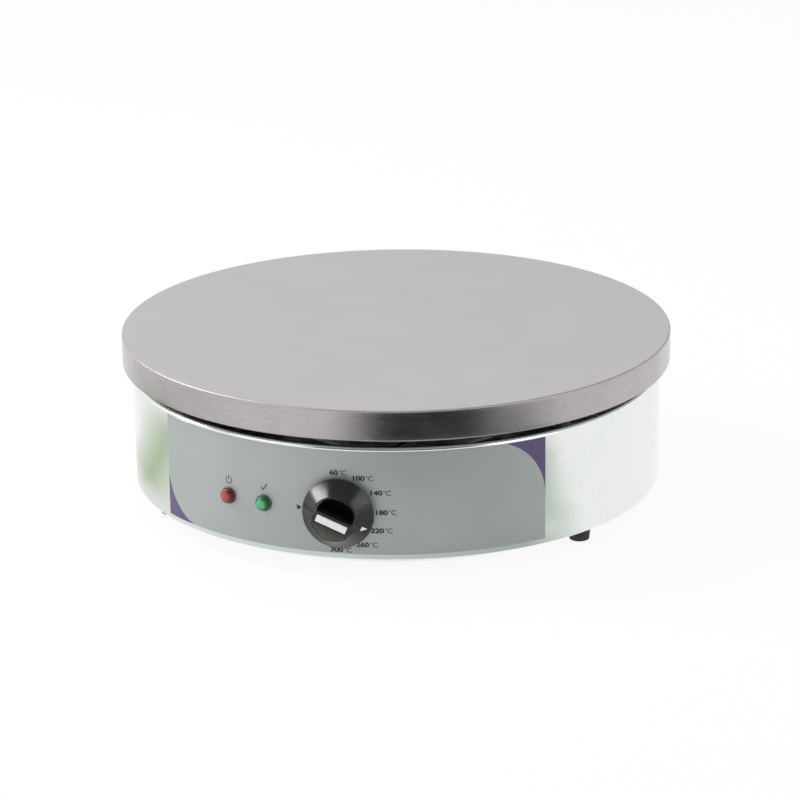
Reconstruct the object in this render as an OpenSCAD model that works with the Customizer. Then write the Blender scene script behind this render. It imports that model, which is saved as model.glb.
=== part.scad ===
// Round electric crepe maker: a thick griddle plate stands on three studs above a polished
// drum, which holds the heating elements, the thermostat and the wiring.
// The front faces -Y. The origin is on the table, under the middle of the plate.

/* [Griddle plate] */
// Diameter of the griddle plate
plate_d = 400; // [370:1:440]
// Height of the plate's machined rim
plate_t = 22; // [20:0.5:26]
// Radius on the plate's edges
plate_edge_r = 1.2; // [0.4:0.1:3]
// Thickness of the plate above its underside recess
plate_web_t = 14; // [12.5:0.5:16]
// Width of the rim around the underside recess
plate_rim_w = 14; // [8:1:20]

/* [Drum] */
// How far the plate reaches past the drum all round
overhang = 7.5; // [4:0.5:12]
// Height of the drum's wall
body_h = 82; // [76:1:100]
// Open gap between the drum's rim and the plate
plate_gap = 7; // [6:0.5:12]
// Thickness of the drum's sheet
sheet_t = 1.2; // [0.8:0.1:1.5]
// Radius of the rolled top rim
rim_r = 3; // [2:0.1:5]
// Length of the lip turned down inside the rim
rim_lip = 4; // [2:0.5:10]
// Radius of the drum's bottom corner
corner_r = 2; // [1.6:0.1:4]
// Width of the drum's turned-in bottom edge
turn_in = 9; // [6:0.5:9.5]
// Height of the drum above the table
lift = 14; // [12:0.5:25]

/* [Floor] */
// Thickness of the floor ring and the support brackets
bracket_t = 2; // [1.5:0.1:3]
// Width of the floor ring
ring_w = 46.5; // [44:0.5:52]
// How far the base pan laps under the floor ring
pan_lap = 16; // [12:0.5:17]
// Height that the middle of the base pan is pressed up
pan_swage = 3; // [1:0.5:5]
// Number of cooling slots in the base pan
vent_count = 18; // [6:1:24]
// Length of a cooling slot
vent_len = 34; // [15:1:40]
// Width of a cooling slot
vent_w = 5; // [3:0.5:7]

/* [Plate supports] */
// Distance of the plate studs inside the drum's outer face
stud_inset = 33.5; // [31:0.5:36]
// Diameter of the plate studs
stud_d = 8; // [6:0.5:8]
// Diameter of the stud bosses under the plate
boss_d = 22; // [16:0.5:24]
// Depth of the stud bosses below the plate's web
boss_drop = 7; // [3:0.5:7.5]
// Height of the support brackets
bracket_h = 43; // [36:0.5:48]
// Width of the support brackets
bracket_w = 30; // [22:1:40]

/* [Feet] */
// Distance of the feet inside the drum's outer face
foot_inset = 19.5; // [18:0.5:21]
// Diameter of a foot at the drum
foot_d = 16.5; // [14:0.5:17]
// Diameter of a foot at the table
foot_base_d = 14.5; // [13:0.5:17]
// Depth of the screw recess in a foot
foot_recess = 6; // [4:0.5:8]

/* [Control panel] */
// Angle that the printed panel covers
panel_angle = 89; // [70:1:120]
// Bare wall above the panel
panel_top = 2.8; // [0.5:0.1:6]
// Bare wall below the panel
panel_bottom = 4.6; // [2.5:0.1:6]
// How far the panel's middle lies to the left of the knob, as an angle
panel_turn = 0.5; // [0:0.1:2]
// Thickness of the panel film
panel_t = 0.4; // [0.2:0.05:0.6]
// Height of the knob and the lamps above the drum's bottom edge
control_h = 35.3; // [33:0.1:42]
// Angle of the power lamp, from the front
power_angle = -25.4; // [-32:0.1:-22]
// Angle of the ready lamp, from the front
ready_angle = -16.6; // [-19:0.1:-14]

/* [Pilot lamps] */
// Diameter of a lamp's flange
lamp_flange_d = 12; // [11.5:0.1:14]
// Diameter of a lamp's lens
lamp_lens_d = 9.6; // [7:0.1:10.5]
// How far a lens stands out of the panel
lamp_out = 5.8; // [4:0.1:9]
// Length of a lamp's housing behind the wall
lamp_housing_len = 30; // [20:1:36]

/* [Knob] */
// Largest diameter of the knob
knob_d = 50.5; // [46:0.5:56]
// How far the knob's front stands off the panel
knob_out = 25.8; // [24:0.1:32]
// Space between the panel and the knob's back
knob_gap = 3.5; // [2.8:0.1:6]
// Diameter of the knob's hub at its neck
hub_d = 32; // [30:0.5:36]
// Diameter of the knob's front face
nose_d = 29; // [28.5:0.5:30]
// Width of the grip bar
bar_w = 10; // [9.5:0.5:13]
// Length of the finger scoops along the grip bar
scoop_len = 24.5; // [18:0.5:25]
// Depth of the finger scoops beside the grip bar, from the front
scoop_depth = 16.3; // [12:0.1:17]
// Slope of the finger scoops' floors
scoop_slope = 42; // [30:1:50]
// Length of the white inlay on the grip bar
inlay_len = 22.5; // [16:0.5:25]
// Width of the white inlay on the grip bar
inlay_w = 5.2; // [3:0.1:7]
// Angle of the pointer below the 3 o'clock mark at rest
pointer_angle = 22.5; // [-30:0.5:90]
// How far the white pointer's tip lies inside the skirt's edge
pointer_inset = 1.6; // [1:0.1:3]
// Length of the white pointer
pointer_len = 4.6; // [3:0.1:6]
// Width of the white pointer at its base
pointer_w = 3.7; // [2.5:0.1:5]

/* [Thermostat] */
// Diameter of the thermostat's shaft
shaft_d = 6; // [5:0.1:6.5]
// Width of the thermostat's body
thermo_w = 38; // [36:1:46]
// Height of the thermostat's body
thermo_h = 34; // [28:1:36]
// Depth of the thermostat's body
thermo_depth = 24; // [20:1:30]
// Distance between the thermostat's fixing screws
thermo_screws = 28; // [26:0.5:30]
// Length of the sensing bulb
bulb_len = 85; // [60:1:90]
// Diameter of the sensing bulb
bulb_d = 6.4; // [5:0.1:7]
// Distance of the sensing bulb in front of the middle
bulb_y = 35; // [28:1:38]

/* [Heating] */
// Diameter of the heating elements' tube
tube_d = 8.5; // [6.5:0.1:8.5]
// Space between the outer element and the stud bosses
loop_clear = 7.75; // [6:0.25:12]
// Distance from the outer element's loop to the inner one
loop_pitch = 48; // [44:1:54]
// Angle left open at the ends of the outer element
outer_open = 24; // [22:1:40]
// Angle left open at the ends of the inner element
inner_open = 32; // [32:1:50]
// Width of the element clamp bars
clamp_w = 20; // [14:1:24]
// Thickness of the element clamp bars
clamp_t = 3; // [2:0.5:3]
// Diameter of the studs that hold the clamp bars and the heat shield
hanger_d = 6; // [5:0.5:6]
// Thickness of the insulation disc
insulation_t = 8; // [6:0.5:8]
// Height of the heat shield's wall
shield_h = 13; // [10:0.5:13]

/* [Wiring] */
// Length of the terminal block
block_len = 62; // [50:1:72]
// Width of the terminal block
block_w = 24; // [18:1:26]
// Height of the terminal block
block_h = 22; // [18:1:26]
// Height of the cable gland above the drum's bottom edge
gland_h = 26; // [24:1:32]
// Diameter of the cable that the gland takes
cable_d = 9; // [7:0.5:9.5]

/* [Hidden] */
$fn = 96;
eps = 0.01; // overshoot of a cut past a face
fit = 0.05; // radial play of a screw, a stud or a shaft in its hole
seat = 0.1; // play between flat pieces
m4 = 4;
m5 = 5;
m4_head_d = 7;
m4_head_t = 2.4;
base_screw_len = 6;
lamp_nut_af = 14;
lamp_nut_t = 3;

// Radii, from the middle of the plate
plate_r = plate_d / 2;
body_r = plate_r - overhang;
wall_r = body_r - sheet_t;
face_r = body_r + fit + panel_t;
recess_r = plate_r - plate_rim_w;
stud_r = body_r - stud_inset;
foot_r = body_r - foot_inset;
ring_out_r = body_r - corner_r;
ring_in_r = ring_out_r - ring_w;
pan_r = ring_in_r + pan_lap;
outer_loop_r = stud_r - boss_d / 2 - loop_clear - tube_d / 2;
inner_loop_r = outer_loop_r - loop_pitch;
hanger_r = (outer_loop_r + inner_loop_r) / 2;
shield_r = stud_r - 12;

// Levels, from the table
z_rim = lift + body_h;
z_plate = z_rim + plate_gap;
z_top = z_plate + plate_t;
z_web = z_top - plate_web_t;
z_boss = z_web - boss_drop;
z_ring = lift + sheet_t;
z_floor = z_ring + bracket_t;
z_bracket = z_floor + bracket_h;
z_pan_top = z_ring + pan_swage;
z_control = lift + control_h;
z_gland = lift + gland_h;
z_loop = z_web - fit - tube_d / 2;
z_clamp = z_loop - tube_d / 2 - fit - clamp_t;
nut_m6_t = 5;
z_insulation = z_clamp - nut_m6_t - 0.4 - insulation_t;
z_shield = z_insulation - sheet_t;
nut_m8_t = 6.5;
nut_m5_t = 4;
support_angles = [60, 180, 300];
clamp_angles = [0, 120, 240];
hole_depth = 7; // depth of the tapped holes in the plate's web

// Thermostat and knob, on the control axis: distances from the middle of the plate
thermo_face = sqrt(wall_r * wall_r - thermo_w * thermo_w / 4) - 0.15;
thermo_back = thermo_face - thermo_depth;
shaft_hole_d = 10.2;
bush_d = 9.8;
knob_back = face_r + knob_gap;
knob_front = face_r + knob_out;
skirt_edge = 1.6; // height of the knob's outer edge
neck = 16; // height of the hub's neck above the panel
shaft_end = knob_front - 5.5;

// Sensing bulb and capillary
z_bulb = z_web - 1.5;
capillary_r = 1.1;
capillary_x = bulb_len / 2 + 13;
z_capillary = z_shield - 8;
clip_x = bulb_len / 4;
clip_t = 1.2;
clip_reach = 13;
clip_screw_y = 9;

// Element ends
bend_r = 12;
leg_bottom = z_shield - 14;
bush_r = 6;

// Wiring
block_y = ring_in_r - block_w / 2 - 12;
pole_pitch = 17;
earth_x = block_len / 2 + 16;
gland_af = 24;
gland_flange_t = 6;
gland_thread_d = 20;
gland_inner_len = 12;
gland_nut_t = 5;
gland_neck_d = 18;
gland_neck_len = 9;
gland_cap_len = 19.5;

// ---- helpers ----

// Turns a piece drawn at the front to an angle round the drum
module round_drum(angles) {
    for (a = angles) rotate([0, 0, a]) children();
}

// Local +Z points out of the front of the drum, local +Y up, from the control axis
module on_control_axis(angle = 0, z = z_control) {
    translate([0, 0, z]) rotate([0, 0, angle]) rotate([90, 0, 0]) children();
}

module tube(r_out, r_in, h) {
    difference() {
        cylinder(r = r_out, h = h);
        translate([0, 0, -eps]) cylinder(r = r_in, h = h + 2 * eps);
    }
}

module hex_nut(af, h, hole_r) {
    difference() {
        cylinder(d = af / cos(30), h = h, $fn = 6);
        translate([0, 0, -eps]) cylinder(r = hole_r, h = h + 2 * eps, $fn = 48);
    }
}

// A pan-head screw along +Z, its head below z = 0
module screw(d, head_d, head_t, len) {
    cylinder(d = d, h = len);
    translate([0, 0, -head_t]) {
        difference() {
            cylinder(d1 = head_d * 0.8, d2 = head_d, h = head_t);
            translate([-head_d * 0.3, -0.4, -eps]) cube([head_d * 0.6, 0.8, head_t * 0.4]);
            translate([-0.4, -head_d * 0.3, -eps]) cube([0.8, head_d * 0.6, head_t * 0.4]);
        }
    }
}

module ring_2d(r_out, r_in) {
    difference() {
        circle(r_out);
        circle(r_in);
    }
}

// ---- griddle plate and its supports ----

module plate_profile() {
    difference() {
        union() {
            translate([0, z_plate]) square([plate_r - plate_edge_r, plate_t]);
            translate([0, z_plate + plate_edge_r])
                square([plate_r, plate_t - 2 * plate_edge_r]);
            for (z = [z_plate + plate_edge_r, z_top - plate_edge_r])
                translate([plate_r - plate_edge_r, z]) circle(plate_edge_r);
        }
        translate([-1, z_plate - 1]) square([recess_r + 1, z_web - z_plate + 1]);
    }
}

module griddle_plate() {
    color("dimgray")
    difference() {
        union() {
            rotate_extrude($fn = 192) plate_profile();
            // stud bosses
            round_drum(support_angles)
                translate([0, -stud_r, z_boss]) cylinder(d = boss_d, h = boss_drop + eps);
        }
        // tapped holes for the plate studs
        round_drum(support_angles)
            translate([0, -stud_r, z_boss - eps])
                cylinder(d = stud_d + 2 * fit, h = boss_drop + hole_depth / 2 + eps);
        // tapped holes for the hanger studs
        round_drum(clamp_angles)
            translate([0, -hanger_r, z_web - eps])
                cylinder(d = hanger_d + 2 * fit, h = hole_depth + eps);
        // groove for the sensing bulb
        translate([-bulb_len / 2 - 1, -bulb_y, z_bulb])
            rotate([0, 90, 0]) cylinder(d = bulb_d + 2 * fit, h = bulb_len + 2);
        // tapped holes for the clip screws
        clip_screw_places() translate([0, 0, z_web - eps]) cylinder(d = m4 + 2 * fit, h = hole_depth);
    }
}

module plate_studs() {
    color("silver")
    round_drum(support_angles)
        translate([0, -stud_r, z_bracket - bracket_t - nut_m8_t - 3])
            cylinder(d = stud_d, h = z_boss + 8 - (z_bracket - bracket_t - nut_m8_t - 3));
}

module plate_stud_nuts() {
    color("silver")
    for (z = [z_bracket - bracket_t - nut_m8_t, z_bracket, z_boss - nut_m8_t])
        round_drum(support_angles)
            translate([0, -stud_r, z]) hex_nut(13, nut_m8_t, stud_d / 2 + fit);
}

// One folded bracket, drawn along the radius: x is the distance from the middle
module bracket_profile() {
    inner = stud_r - 13;
    translate([inner, z_floor]) square([foot_r + 13 - inner, bracket_t]);
    translate([inner, z_floor]) square([bracket_t, bracket_h]);
    translate([inner, z_bracket - bracket_t]) square([24, bracket_t]);
}

module support_brackets() {
    inner = stud_r - 13;
    color("lightsteelblue")
    round_drum(support_angles)
        difference() {
            union() {
                rotate([90, 0, -90]) translate([0, 0, -bracket_w / 2])
                    linear_extrude(bracket_w) bracket_profile();
                // gussets at both sides
                for (s = [-1, 1])
                    rotate([90, 0, -90])
                        translate([0, 0, s * (bracket_w - bracket_t) / 2 - bracket_t / 2])
                            linear_extrude(bracket_t)
                                polygon([
                                    [inner, z_floor], [inner + 16, z_floor],
                                    [inner + bracket_t, z_floor + 24], [inner, z_floor + 24]
                                ]);
            }
            translate([0, -stud_r, z_bracket - bracket_t - 1])
                cylinder(d = stud_d + 2 * fit, h = bracket_t + 2);
            translate([0, -foot_r, z_floor - 1]) cylinder(d = m5 + 2 * fit, h = bracket_t + 2);
        }
}

// ---- drum ----

module wall_profile() {
    translate([wall_r, lift + corner_r]) square([sheet_t, body_h - corner_r - rim_r]);
    // rolled rim and the lip inside it
    translate([body_r - rim_r, z_rim - rim_r]) intersection() {
        ring_2d(rim_r, rim_r - sheet_t);
        translate([-rim_r, 0]) square([2 * rim_r, rim_r]);
    }
    translate([body_r - 2 * rim_r, z_rim - rim_r - rim_lip]) square([sheet_t, rim_lip]);
    // bottom corner and the turned-in edge
    translate([body_r - corner_r, lift + corner_r]) intersection() {
        ring_2d(corner_r, corner_r - sheet_t);
        translate([0, -corner_r]) square(corner_r);
    }
    translate([body_r - turn_in, lift]) square([turn_in - corner_r, sheet_t]);
}

module drum_wall() {
    color("gainsboro")
    difference() {
        rotate_extrude($fn = 192) wall_profile();
        on_control_axis() translate([0, 0, wall_r - 5]) cylinder(d = shaft_hole_d, h = 10);
        on_control_axis() thermo_screw_places()
            translate([0, 0, wall_r - 5]) cylinder(d = m4 + 0.4, h = 10);
        for (a = [power_angle, ready_angle])
            on_control_axis(a) translate([0, 0, wall_r - 5]) cylinder(d = shaft_hole_d, h = 10);
        on_control_axis(180, z_gland)
            translate([0, 0, wall_r - 5]) cylinder(d = gland_thread_d + 4 * fit, h = 10);
    }
}

module floor_ring() {
    color("lightgray")
    difference() {
        translate([0, 0, z_ring]) tube(ring_out_r, ring_in_r, bracket_t, $fn = 192);
        round_drum(support_angles)
            translate([0, -foot_r, z_ring - 1]) cylinder(d = m5 + 2 * fit, h = bracket_t + 2);
        base_screw_places() translate([0, 0, z_ring - 1]) cylinder(d = m4 + 2 * fit, h = bracket_t + 2);
    }
}

module base_screw_places() {
    for (a = [30 : 60 : 330])
        rotate([0, 0, a]) translate([0, -(ring_in_r + pan_lap * 0.62), 0]) children();
}

module base_pan() {
    swage_r = ring_in_r - 3;
    color("darkgray")
    difference() {
        rotate_extrude($fn = 192)
            polygon([
                [0, z_pan_top - sheet_t], [swage_r - pan_swage, z_pan_top - sheet_t],
                [swage_r, z_ring - sheet_t], [pan_r, z_ring - sheet_t], [pan_r, z_ring],
                [swage_r + 0.5, z_ring], [swage_r + 0.5 - pan_swage, z_pan_top], [0, z_pan_top]
            ]);
        base_screw_places() translate([0, 0, z_ring - 3]) cylinder(d = m4 + 0.4, h = 6);
        // cooling slots with round ends
        for (i = [0 : vent_count - 1])
            rotate([0, 0, i * 360 / vent_count])
                translate([0, -ring_in_r * 0.42, z_ring - 3]) {
                    for (y = [0, -vent_len + vent_w])
                        translate([0, y, 0]) cylinder(d = vent_w, h = 10 + pan_swage, $fn = 32);
                    translate([-vent_w / 2, -vent_len + vent_w, 0])
                        cube([vent_w, vent_len - vent_w, 10 + pan_swage]);
                }
        for (s = [-1, 1])
            translate([s * pole_pitch / 2, block_y, z_ring - 3]) cylinder(d = m4 + 2 * fit, h = 10 + pan_swage);
        translate([earth_x, block_y, z_ring - 3]) cylinder(d = m5 + 2 * fit, h = 10 + pan_swage);
    }
}

module base_screws() {
    color("silver")
    base_screw_places() translate([0, 0, z_ring - sheet_t]) screw(m4, m4_head_d, m4_head_t, base_screw_len);
}

module feet() {
    color([0.08, 0.08, 0.08])
    round_drum(support_angles) translate([0, -foot_r, 0])
        difference() {
            rotate_extrude() polygon([
                [0, 0], [foot_base_d / 2 - 1, 0], [foot_base_d / 2, 1],
                [foot_d / 2, z_ring - 2], [foot_d / 2, z_ring], [0, z_ring]
            ]);
            translate([0, 0, -eps]) cylinder(d = 10, h = foot_recess + eps);
            translate([0, 0, -eps]) cylinder(d = m5 + 2 * fit, h = z_ring + 2 * eps);
        }
}

module foot_screws() {
    color("silver")
    round_drum(support_angles) translate([0, -foot_r, foot_recess])
        screw(m5, 9, 3, z_floor + bracket_t + nut_m5_t + 1 - foot_recess);
}

module foot_nuts() {
    color("silver")
    round_drum(support_angles) translate([0, -foot_r, z_floor + bracket_t])
        hex_nut(8, nut_m5_t, m5 / 2 + fit);
}

// ---- control panel and lamps ----

module control_panel() {
    z0 = lift + panel_bottom;
    color([0.58, 0.6, 0.6])
    difference() {
        rotate([0, 0, -90 - panel_angle / 2 - panel_turn])
            rotate_extrude(angle = panel_angle, $fn = 192)
                translate([body_r + fit, z0]) square([panel_t, body_h - panel_bottom - panel_top]);
        on_control_axis() translate([0, 0, wall_r - 5]) cylinder(d = shaft_hole_d, h = 12);
        on_control_axis() thermo_screw_places()
            translate([0, 0, wall_r - 5]) cylinder(d = m4 + 0.4, h = 12);
        for (a = [power_angle, ready_angle])
            on_control_axis(a) translate([0, 0, wall_r - 5]) cylinder(d = shaft_hole_d, h = 12);
    }
}

// A ribbed round lens with a domed front, its flange on the panel
module lamp_lens(angle) {
    base = face_r + fit;
    flange_t = 1.2;
    rib = 0.5;
    lens_r = lamp_lens_d / 2;
    dome_r = lens_r * 1.6;
    side = lamp_out - flange_t - 1.4;
    on_control_axis(angle) translate([0, 0, base])
        rotate_extrude() difference() {
            union() {
                translate([0, -5]) square([shaft_hole_d / 2 - 2 * fit, 5 + eps]);
                square([lamp_flange_d / 2 - 0.4, flange_t]);
                square([lamp_flange_d / 2, flange_t - 0.4]);
                translate([0, flange_t]) square([lens_r - rib, side]);
                for (y = [flange_t + 0.6 : 1.2 : flange_t + side - 0.5])
                    translate([0, y]) square([lens_r, 0.6]);
                // domed front
                intersection() {
                    translate([0, lamp_out - dome_r]) circle(dome_r);
                    translate([0, flange_t + side]) square([lens_r - rib, 3]);
                }
            }
            // hollow for the bulb
            translate([-1, -6]) square([lens_r - 1.6, 6 + flange_t + side - 1.2]);
            translate([-lens_r * 2, -10]) square([lens_r * 2, 20]);
        }
}

module power_lamp_lens() {
    color([0.8, 0.15, 0.12]) lamp_lens(power_angle);
}

module ready_lamp_lens() {
    color([0.1, 0.6, 0.25]) lamp_lens(ready_angle);
}

module lamp_housings() {
    top = face_r + fit - 5 - seat;
    color("ivory")
    for (a = [power_angle, ready_angle])
        on_control_axis(a) {
            translate([0, 0, top - lamp_housing_len])
                cylinder(r = shaft_hole_d / 2 - 2 * fit, h = lamp_housing_len);
            // two connection tabs
            for (s = [-1, 1])
                translate([s * 2.5 - 0.4, -1.5, top - lamp_housing_len - 8]) cube([0.8, 3, 8 + eps]);
        }
}

module lamp_nuts() {
    face = sqrt(wall_r * wall_r - pow(lamp_nut_af / 2 / cos(30), 2)) - seat;
    color("whitesmoke")
    for (a = [power_angle, ready_angle])
        on_control_axis(a) translate([0, 0, face - lamp_nut_t]) hex_nut(lamp_nut_af, lamp_nut_t, shaft_hole_d / 2);
}

// ---- thermostat ----

module thermo_screw_places() {
    for (s = [-1, 1]) translate([s * thermo_screws / 2, 0, 0]) children();
}

module thermostat_body() {
    color("white")
    on_control_axis() difference() {
        union() {
            translate([-thermo_w / 2, -thermo_h / 2 + 4, thermo_face - 2])
                cube([thermo_w, thermo_h - 8, 2]);
            translate([-thermo_w / 2 + 2, -thermo_h / 2, thermo_back])
                cube([thermo_w - 4, thermo_h, thermo_depth - 2 + eps]);
            // connection tabs
            for (x = [-10, 10], y = [-10, 4])
                translate([x - 3.15, y, thermo_back - 8]) cube([6.3, 0.8, 8 + eps]);
        }
        // blind bore for the shaft, with a wider mouth for the bush
        translate([0, 0, thermo_face - 14]) cylinder(d = shaft_d + 2 * fit, h = 20);
        translate([0, 0, thermo_face - 4]) cylinder(d = bush_d + 2 * fit, h = 10);
        thermo_screw_places()
            translate([0, 0, thermo_face - 8]) cylinder(d = m4 + 2 * fit, h = 10);
    }
}

module shaft_bush() {
    color("goldenrod")
    on_control_axis() translate([0, 0, thermo_face - 4])
        tube(bush_d / 2, shaft_d / 2 + fit, face_r + 1.5 - (thermo_face - 4));
}

module thermostat_screws() {
    base = sqrt(face_r * face_r - pow(thermo_screws / 2 - 3.5, 2)) + seat;
    color("silver")
    on_control_axis() thermo_screw_places()
        translate([0, 0, base]) rotate([180, 0, 0]) screw(m4, 7, 2.2, base - thermo_face + 6);
}

module thermostat_shaft() {
    color("silver")
    on_control_axis() rotate([0, 0, -pointer_angle]) difference() {
        translate([0, 0, thermo_face - 13.5]) cylinder(d = shaft_d, h = shaft_end - thermo_face + 13.5);
        // drive flat
        translate([-shaft_d, shaft_d / 2 - 1.4, knob_back + 2])
            cube([2 * shaft_d, shaft_d, shaft_end - knob_back]);
    }
}

// The knob's outline: skirt, flare and hub, as distance from its axis and from the panel
module knob_profile(grow = 0) {
    r = knob_d / 2 + grow;
    neck_r = hub_d / 2 + grow;
    edge_top = knob_gap + skirt_edge + grow;
    top = knob_out;
    polygon([
        [0, knob_gap], [r - 0.7, knob_gap], [r, knob_gap + 0.7], [r, edge_top - 0.5],
        [r - 0.5, edge_top], [neck_r, neck + grow], [nose_d / 2 + grow, top - 1],
        [nose_d / 2 - 1 + grow, top], [0, top]
    ]);
}

// The slightly hollow flare between the skirt and the hub is cut by a large round
module knob_solid(grow = 0) {
    edge = [knob_d / 2 - 0.5, knob_gap + skirt_edge];
    neck_point = [hub_d / 2, neck];
    mid = (edge + neck_point) / 2;
    chord = norm(edge - neck_point);
    flare_r = 30;
    away = sqrt(flare_r * flare_r - chord * chord / 4);
    out = [neck - knob_gap - skirt_edge, knob_d / 2 - 0.5 - hub_d / 2] / chord;
    rotate_extrude($fn = 128) difference() {
        knob_profile(grow);
        translate(mid + out * away) circle(flare_r - grow);
    }
}

// Cuts the hub down to a sloping floor beside the grip bar
module finger_scoops() {
    for (s = [0, 180])
        rotate([0, 0, s])
            intersection() {
                translate([-scoop_len / 2, bar_w / 2, 0]) cube([scoop_len, knob_d, knob_out + 1]);
                translate([0, bar_w / 2, knob_out - scoop_depth])
                    rotate([scoop_slope, 0, 0])
                        translate([-knob_d, -knob_d, 0]) cube([2 * knob_d, 3 * knob_d, 2 * knob_d]);
            }
}

// Local frame of the knob: +X is the way the pointer looks, +Z out of the panel
module on_knob() {
    on_control_axis() translate([0, 0, face_r]) rotate([0, 0, -pointer_angle]) children();
}

module pointer_prism() {
    tip = knob_d / 2 - pointer_inset;
    base = tip - pointer_len;
    translate([0, 0, knob_gap + skirt_edge - 1])
        linear_extrude(knob_out) polygon([[tip, 0], [base, pointer_w / 2], [base, -pointer_w / 2]]);
}

module thermostat_knob() {
    color([0.12, 0.12, 0.12])
    on_knob() difference() {
        knob_solid();
        finger_scoops();
        // bed of the white inlay
        translate([-inlay_len / 2 - fit, -inlay_w / 2 - fit, knob_out - 0.8])
            cube([inlay_len + 2 * fit, inlay_w + 2 * fit, 1]);
        // bed of the pointer
        difference() {
            pointer_prism();
            knob_solid(-0.8);
        }
        // bore with its drive flat, and the slot of the spring
        difference() {
            translate([0, 0, knob_gap - 1])
                cylinder(d = shaft_d + 2 * fit, h = shaft_end - face_r + 0.5 - knob_gap + 1);
            translate([-shaft_d, shaft_d / 2 - 1.4 + fit, knob_gap + 2])
                cube([2 * shaft_d, shaft_d, knob_out]);
        }
        translate([-2.1, -shaft_d / 2 - 1.2, knob_gap - 1]) cube([4.2, 2, 13]);
        // hollow back around the boss
        translate([0, 0, knob_gap - 1]) tube(knob_d / 2 - 3, 8, 3.5);
    }
}

module knob_inlay() {
    color("white")
    on_knob() translate([-inlay_len / 2, -inlay_w / 2, knob_out - 0.8 + fit])
        cube([inlay_len, inlay_w, 0.8 - fit + 0.1]);
}

module knob_pointer() {
    color("white")
    on_knob() intersection() {
        knob_solid(0.1);
        difference() {
            pointer_prism();
            knob_solid(-0.7);
        }
    }
}

module knob_spring() {
    color("lightgray")
    on_knob() translate([-2, -shaft_d / 2 - 1, knob_gap + 0.5]) cube([4, 0.8, 10.5]);
}

// ---- sensing line ----

// Round wire through a list of points
module wire(points, r) {
    for (i = [0 : len(points) - 2]) {
        v = points[i + 1] - points[i];
        l = norm(v);
        translate(points[i]) rotate([0, acos(v[2] / l), atan2(v[1], v[0])]) cylinder(r = r, h = l, $fn = 32);
        // a corner is a little fuller than the wire
        if (i > 0) translate(points[i]) sphere(r = r + fit, $fn = 32);
    }
}

module capillary_tube() {
    start_y = -(thermo_back + thermo_depth * 0.3);
    start_z = z_control + thermo_h / 2;
    color("peru")
    wire([
        [10, start_y, start_z], [10, start_y, z_capillary], [capillary_x, -bulb_y - 25, z_capillary],
        [capillary_x, -bulb_y, z_capillary], [capillary_x, -bulb_y, z_bulb], [bulb_len / 2, -bulb_y, z_bulb]
    ], capillary_r);
}

module sensing_bulb() {
    color("peru")
    translate([-bulb_len / 2, -bulb_y, z_bulb]) rotate([0, 90, 0]) cylinder(d = bulb_d, h = bulb_len);
}

module clip_screw_places() {
    for (x = [-clip_x, clip_x], y = [-clip_screw_y, clip_screw_y])
        translate([x, -bulb_y + y, 0]) children();
}

// Saddle clips that press the bulb into its groove
module bulb_clips() {
    r_in = bulb_d / 2 + fit;
    r_out = r_in + clip_t;
    foot_top = z_web - fit;
    color("lightgray")
    difference() {
        for (x = [-clip_x, clip_x])
            translate([x - 5, -bulb_y, 0]) rotate([90, 0, 90]) linear_extrude(10) {
                translate([0, z_bulb]) intersection() {
                    ring_2d(r_out, r_in);
                    translate([-r_out, -r_out]) square([2 * r_out, r_out]);
                }
                for (s = [-1, 1]) {
                    translate([s > 0 ? r_in : -r_out, z_bulb]) square([clip_t, foot_top - z_bulb]);
                    translate([s > 0 ? r_in : -clip_reach, foot_top - clip_t])
                        square([clip_reach - r_in, clip_t]);
                }
            }
        clip_screw_places() translate([0, 0, z_web - 4]) cylinder(d = m4 + 2 * fit, h = 8);
    }
}

module clip_screws() {
    color("silver")
    clip_screw_places() translate([0, 0, z_web - fit - clip_t]) screw(m4, 7, 2.4, clip_t + hole_depth - 1);
}

// ---- heating ----

// A tube bent from +X to straight down, with a leg. The bend is drawn thinner where it is
// formed, and reaches a little way into the loop and the leg.
module element_end() {
    lap = 3;
    translate([0, 0, -bend_r]) rotate([90, 0, 0]) rotate([0, 0, -lap])
        rotate_extrude(angle = 90 + 2 * lap, $fn = 64) translate([bend_r, 0]) circle(d = tube_d - 2 * fit);
    translate([bend_r, 0, leg_bottom - z_loop]) cylinder(d = tube_d, h = z_loop - bend_r - leg_bottom);
    translate([bend_r, 0, leg_bottom - z_loop - 9]) cylinder(d = 3.5, h = 9 + eps);
}

// A round loop under the plate with both ends turned down at the back
module element(loop_r, open) {
    translate([0, 0, z_loop]) rotate([0, 0, 90 + open / 2]) {
        rotate_extrude(angle = 360 - open, $fn = 128) translate([loop_r, 0]) circle(d = tube_d);
        translate([loop_r, 0, 0]) rotate([0, 0, -90]) element_end();
        rotate([0, 0, -open]) translate([loop_r, 0, 0]) rotate([0, 0, 90]) element_end();
    }
}

module outer_element() {
    color("slategray") element(outer_loop_r, outer_open);
}

module inner_element() {
    color("slategray") element(inner_loop_r, inner_open);
}

// Where the element legs pass the heat shield
module leg_places() {
    for (e = [[outer_loop_r, outer_open], [inner_loop_r, inner_open]], s = [-1, 1])
        rotate([0, 0, s * e[1] / 2]) translate([s * bend_r, e[0], 0]) children();
}

module element_bushes() {
    color("ivory")
    leg_places() {
        translate([0, 0, z_shield - 2.5]) tube(bush_r + 1.6, tube_d / 2 + fit, 2.5);
        translate([0, 0, z_shield - eps]) tube(bush_r, tube_d / 2 + fit, sheet_t + 2);
    }
}

module clamp_bars() {
    inner = inner_loop_r - tube_d / 2 - 6;
    outer = outer_loop_r + tube_d / 2 + 4;
    color("lightsteelblue")
    round_drum(clamp_angles) difference() {
        translate([-clamp_w / 2, -outer, z_clamp]) cube([clamp_w, outer - inner, clamp_t]);
        translate([0, -hanger_r, z_clamp - 1]) cylinder(d = hanger_d + 2 * fit, h = clamp_t + 2);
    }
}

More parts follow.
